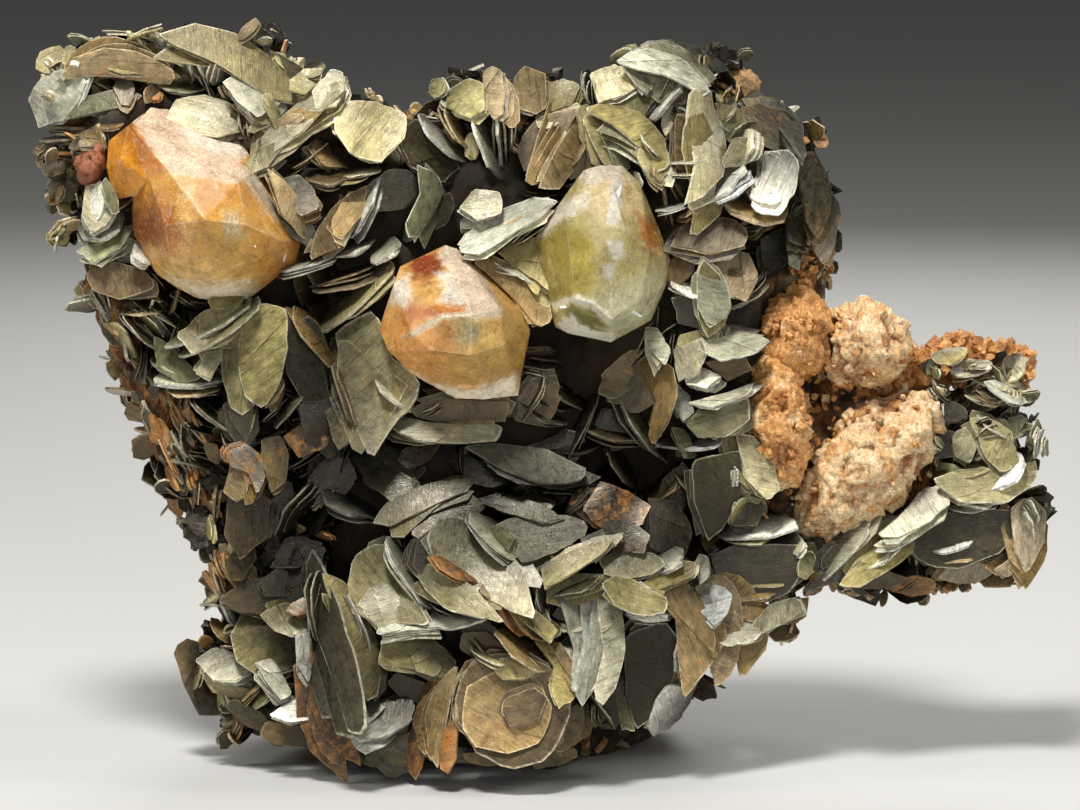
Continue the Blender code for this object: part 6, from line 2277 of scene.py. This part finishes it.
def add_specks(pile, name, tree, rng):
    """Specks at random places just inside a crystal."""
    corners = np.array([tuple(vert.co / MM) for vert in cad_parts[name].data.vertices])
    low = corners.min(0)
    high = corners.max(0)
    placed = 0
    for _ in range(SPECK_TRIES):
        if placed == SPECKS[name]:
            break
        point = low + (high - low) * rng.uniform(0, 1, 3)
        near, normal, _, distance = tree.find_nearest(Vector(point))
        in_reach = SPECK_DEPTH_MM[0] <= distance <= SPECK_DEPTH_MM[1]
        if not in_reach or (Vector(point) - near).dot(normal) > 0:
            continue
        placed += 1
        size = rng.uniform(*SPECK_SIZE_MM)
        way = unit(rng.normal(0, 1, 3))
        across = unit(np.cross(way, (0.3, 0.5, 0.8)))
        plane = (point, across, np.cross(way, across), way)
        tone = plain(INCLUSION_TINTS[one_of(rng, SPECK_KINDS)][0])
        outline = counterclockwise(leaf(rng, size, size * 0.7, 5))
        half = size * 0.2
        add_leaf(pile, plane, outline, -half, half, tone, straight, rng, (), False, 0.0)


def inclusion_material():
    """Pale veils and coloured specks."""
    material, tree, shader, _ = new_material("inclusions")
    tint = attribute(tree, "tint").outputs["Color"]
    grain = attribute(tree, "grain").outputs["Vector"]
    fine = noise_of(tree, grain, 2.0, 4.0, 0.7)
    colour = mix(tree, ramp(tree, fine, (0.35, 0.0), (0.65, 1.0)),
                 times(tree, tint, 0.7), tint)
    link(tree, colour, shader.inputs["Base Color"])
    link(tree, ramp(tree, fine, (0.3, 0.5), (0.7, 0.8)), shader.inputs["Roughness"])
    return material


def place_side_books(piles):
    """Mica on the sides, top and back: books near the front, flat flakes behind."""
    rng = np.random.default_rng(SEED + 3)
    place_books_on("matrix_rock", ROCK_BOOKS, piles, rng)
    for name in CORE_NODES:
        place_books_on(name, CORE_BOOKS, piles, rng)


def place_books_on(name, count, piles, rng):
    """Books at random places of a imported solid, apart from its front and its underside."""
    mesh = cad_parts[name].data
    on_rock = name == "matrix_rock"
    areas = np.array([face.area for face in mesh.polygons])
    for pick in rng.choice(len(areas), count, p=areas / areas.sum()):
        face = mesh.polygons[int(pick)]
        normal = np.array(face.normal)
        corners = [np.array(mesh.vertices[i].co) / MM for i in face.vertices]
        weights = rng.dirichlet((1, 1, 1))
        point = sum(w * c for w, c in zip(weights, corners[:3]))
        under = on_rock and normal[2] < SIDE_UNDER
        if point[2] < SIDE_LEAST_HEIGHT_MM or under or normal[1] < -SIDE_LEAN:
            continue
        behind = normal[1] > SIDE_LEAN
        if behind and rng.uniform() < BACK_LEFT_OUT:
            continue
        size = rng.uniform(*(BACK_SIZE_MM if behind else SIDE_SIZE_MM))
        way = unit(normal + rng.normal(0, BACK_UNEVEN if behind else SIDE_UNEVEN, 3))
        lift = 0.1 if behind else size * 0.3
        if not on_rock:
            lift -= CORE_BOOKS_SINK_MM
            u, v = pixels_of(point[None, :])[0]
            point[1] = max(point[1], front_depth(u, v) + CORE_BEHIND_MM - CORE_BOOKS_OUT_MM)
        plane = turned_plane(point + normal * lift, way, rng)
        if not clear_of_crystals([plane[0]], size):
            continue
        outline = leaf(rng, size, size * rng.uniform(0.5, 0.9))
        look = one_of(rng, SIDE_LOOKS)
        pile = piles[nearest_node(plane[0])]
        thick = rng.uniform(0.2, 0.5)
        cup = rng.normal(0, 0.05)
        add_book(pile, plane, outline, thick, look, rng, SIMPLE, cup, 1.0, 0.0, 0.1)


def add_core(pile, name):
    """The dark heart of a mica solid, a few millimetres behind the front of its books, painted near
    black as the shade in the gaps between them.
    """
    made = detailed(name, CORE_VOXEL_MM)
    points = mesh_points(made.data)
    normals = mesh_normals(made.data)
    rough = field(points + 13.0, 0.35, "cells")
    fine = field(points + 2.0, 0.9, "fractal", 4)
    sunk = np.array((CORE_SINK_MM, 0.3, CORE_SINK_MM))
    moved = points - normals * sunk
    pixels = pixels_of(moved)
    front = np.array([front_depth(u, v) for u, v in pixels])
    moved[:, 1] = np.maximum(moved[:, 1], front + CORE_BEHIND_MM - 1.5 * rough - 0.6 * fine)
    moved[:, 2] = np.maximum(moved[:, 2], CORE_LEAST_HEIGHT_MM)
    faces = np.array([tuple(face.vertices) for face in made.data.polygons])
    # painted shade: the near-black colour of the heart
    tint = CORE_SHADE_TINT[None, :] * (0.6 + 1.6 * np.clip(rough, 0, 1))[:, None]
    marks = np.zeros((len(points), 3))
    marks[:, 1] = CORE_STAIN
    pile.add(moved, (faces, np.zeros((0, 3), int)), tint, points, marks, 1.0)
    mesh = made.data
    bpy.data.objects.remove(made)
    bpy.data.meshes.remove(mesh)


def build_mica(material):
    """All the books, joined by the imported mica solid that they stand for."""
    piles = {name: Pile() for name in MICA_NODES}
    for name in CORE_NODES:
        add_core(piles[name], name)
    place_read_books(piles)
    place_fills(piles)
    place_crusts(piles)
    place_band(piles)
    place_side_books(piles)
    # painted shade between the books, by how deep each point lies
    shades = DepthShade(np.concatenate([part for pile in piles.values() for part in pile.points]))
    for name, pile in piles.items():
        made = pile.make(name + "_books", 38.0, shades)
        made.data.materials.append(material)
        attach(made, "root")
        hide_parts(name)


def build_crystals():
    """The three crystals, each with what is sealed in it."""
    inclusions = inclusion_material()
    finishes = {
        "fluorite_upper_left": crystal_material("amber_crystal", (0.95, 0.68, 0.12), 150.0, 0.54),
        "fluorite_centre": crystal_material("honey_crystal", (0.96, 0.76, 0.30), 90.0, 0.54),
        "fluorite_upper_right": crystal_material("olive_crystal", (0.93, 0.90, 0.42), 80.0, 0.62),
    }
    for name, tree in zip(CRYSTALS, CRYSTAL_TREES):
        build_crystal(name, finishes[name])
        build_inclusions(name, tree, inclusions)


def build_lumps():
    """The feldspar with its rubble, the red crystal and the brown nodule."""
    feldspar = feldspar_material()
    for name, lump in FELDSPAR_LUMPS.items():
        build_grit(name, feldspar, "feldspar", lump)
    build_rubble(feldspar)
    red = grit_material("red_crystal", (0.36, 0.12, 0.05), (0.14, 0.045, 0.02), 0.4)
    build_grit("red_crystal", red, "red_crystal", RED_LUMP)
    brown = grit_material("brown_nodule", (0.42, 0.24, 0.09), (0.12, 0.07, 0.03), 0.4)
    build_grit("brown_nodule", brown, "brown_nodule", BROWN_LUMP)


# Studio: half width and colour of the floor, the sky, and the lamps with place and aim in metres
Lamp = namedtuple("Lamp", "name place aim size power colour")
LAMPS = (
    Lamp("key", (-0.10, -0.28, 0.68), (0, 0, 0.05), 0.16, 6.0, (1.0, 0.98, 0.94)),
    Lamp("front", (0.15, -0.85, 0.34), (0, 0, 0.05), 0.30, 1.2, (1.0, 0.98, 0.95)),
    Lamp("low", (-0.18, -0.70, 0.03), (0, 0, 0.07), 0.20, 0.65, (1.0, 0.97, 0.92)),
    Lamp("left", (-0.60, -0.10, 0.42), (0, 0, 0.06), 0.20, 1.4, (1.0, 0.99, 0.97)),
    Lamp("right", (0.60, -0.06, 0.42), (0, 0, 0.06), 0.20, 1.6, (1.0, 0.99, 0.97)),
    Lamp("back", (0.10, 0.60, 0.42), (0, 0, 0.05), 0.40, 1.8, (1.0, 0.99, 0.97)),
)
FLOOR_HALF_M = 3.0
FLOOR_COLOUR = (0.52, 0.52, 0.51, 1.0)
FLOOR_ROUGHNESS = 0.7
SKY_COLOUR = (0.95, 0.94, 0.90, 1.0)
SKY_STRENGTH = 0.08
CLIP_M = (0.01, 20.0)


def build_floor():
    """A pale floor under the specimen."""
    mesh = bpy.data.meshes.new("floor")
    signs = ((-1, -1), (1, -1), (1, 1), (-1, 1))
    corners = [(x * FLOOR_HALF_M, y * FLOOR_HALF_M, 0) for x, y in signs]
    mesh.from_pydata(corners, [], [(0, 1, 2, 3)])
    floor = bpy.data.objects.new("floor", mesh)
    bpy.context.scene.collection.objects.link(floor)
    material, _, shader, _ = new_material("floor")
    shader.inputs["Base Color"].default_value = FLOOR_COLOUR
    shader.inputs["Roughness"].default_value = FLOOR_ROUGHNESS
    mesh.materials.append(material)


def build_studio():
    """The floor, soft light from above the front, and the photograph's view."""
    build_floor()
    world = bpy.data.worlds.new("studio")
    bpy.context.scene.world = world
    world.use_nodes = True
    background = world.node_tree.nodes["Background"]
    background.inputs["Color"].default_value = SKY_COLOUR
    background.inputs["Strength"].default_value = SKY_STRENGTH
    for lamp in LAMPS:
        add_lamp(lamp)
    bpy.context.scene.view_settings.view_transform = "Standard"
    camera_data = bpy.data.cameras.new("camera")
    camera = bpy.data.objects.new("camera", camera_data)
    bpy.context.scene.collection.objects.link(camera)
    camera_data.sensor_width = SENSOR_MM
    camera_data.lens = SENSOR_MM * CAMERA_MM / (PIXEL_MM * PHOTO_WIDTH)
    camera_data.clip_start, camera_data.clip_end = CLIP_M
    camera.location = Vector(EYE * MM)
    camera.rotation_euler = (math.pi / 2 - CAMERA_RISE, 0.0, 0.0)
    bpy.context.scene.camera = camera


def add_lamp(lamp):
    """A round soft lamp."""
    data = bpy.data.lights.new(lamp.name, "AREA")
    data.shape = "DISK"
    data.size = lamp.size
    data.energy = lamp.power
    data.color = lamp.colour
    made = bpy.data.objects.new(lamp.name, data)
    bpy.context.scene.collection.objects.link(made)
    made.location = lamp.place
    way = Vector(lamp.aim) - Vector(lamp.place)
    made.rotation_euler = way.to_track_quat("-Z", "Y").to_euler()


build_rock()
build_crystals()
build_lumps()
build_mica(mica_material())
build_studio()
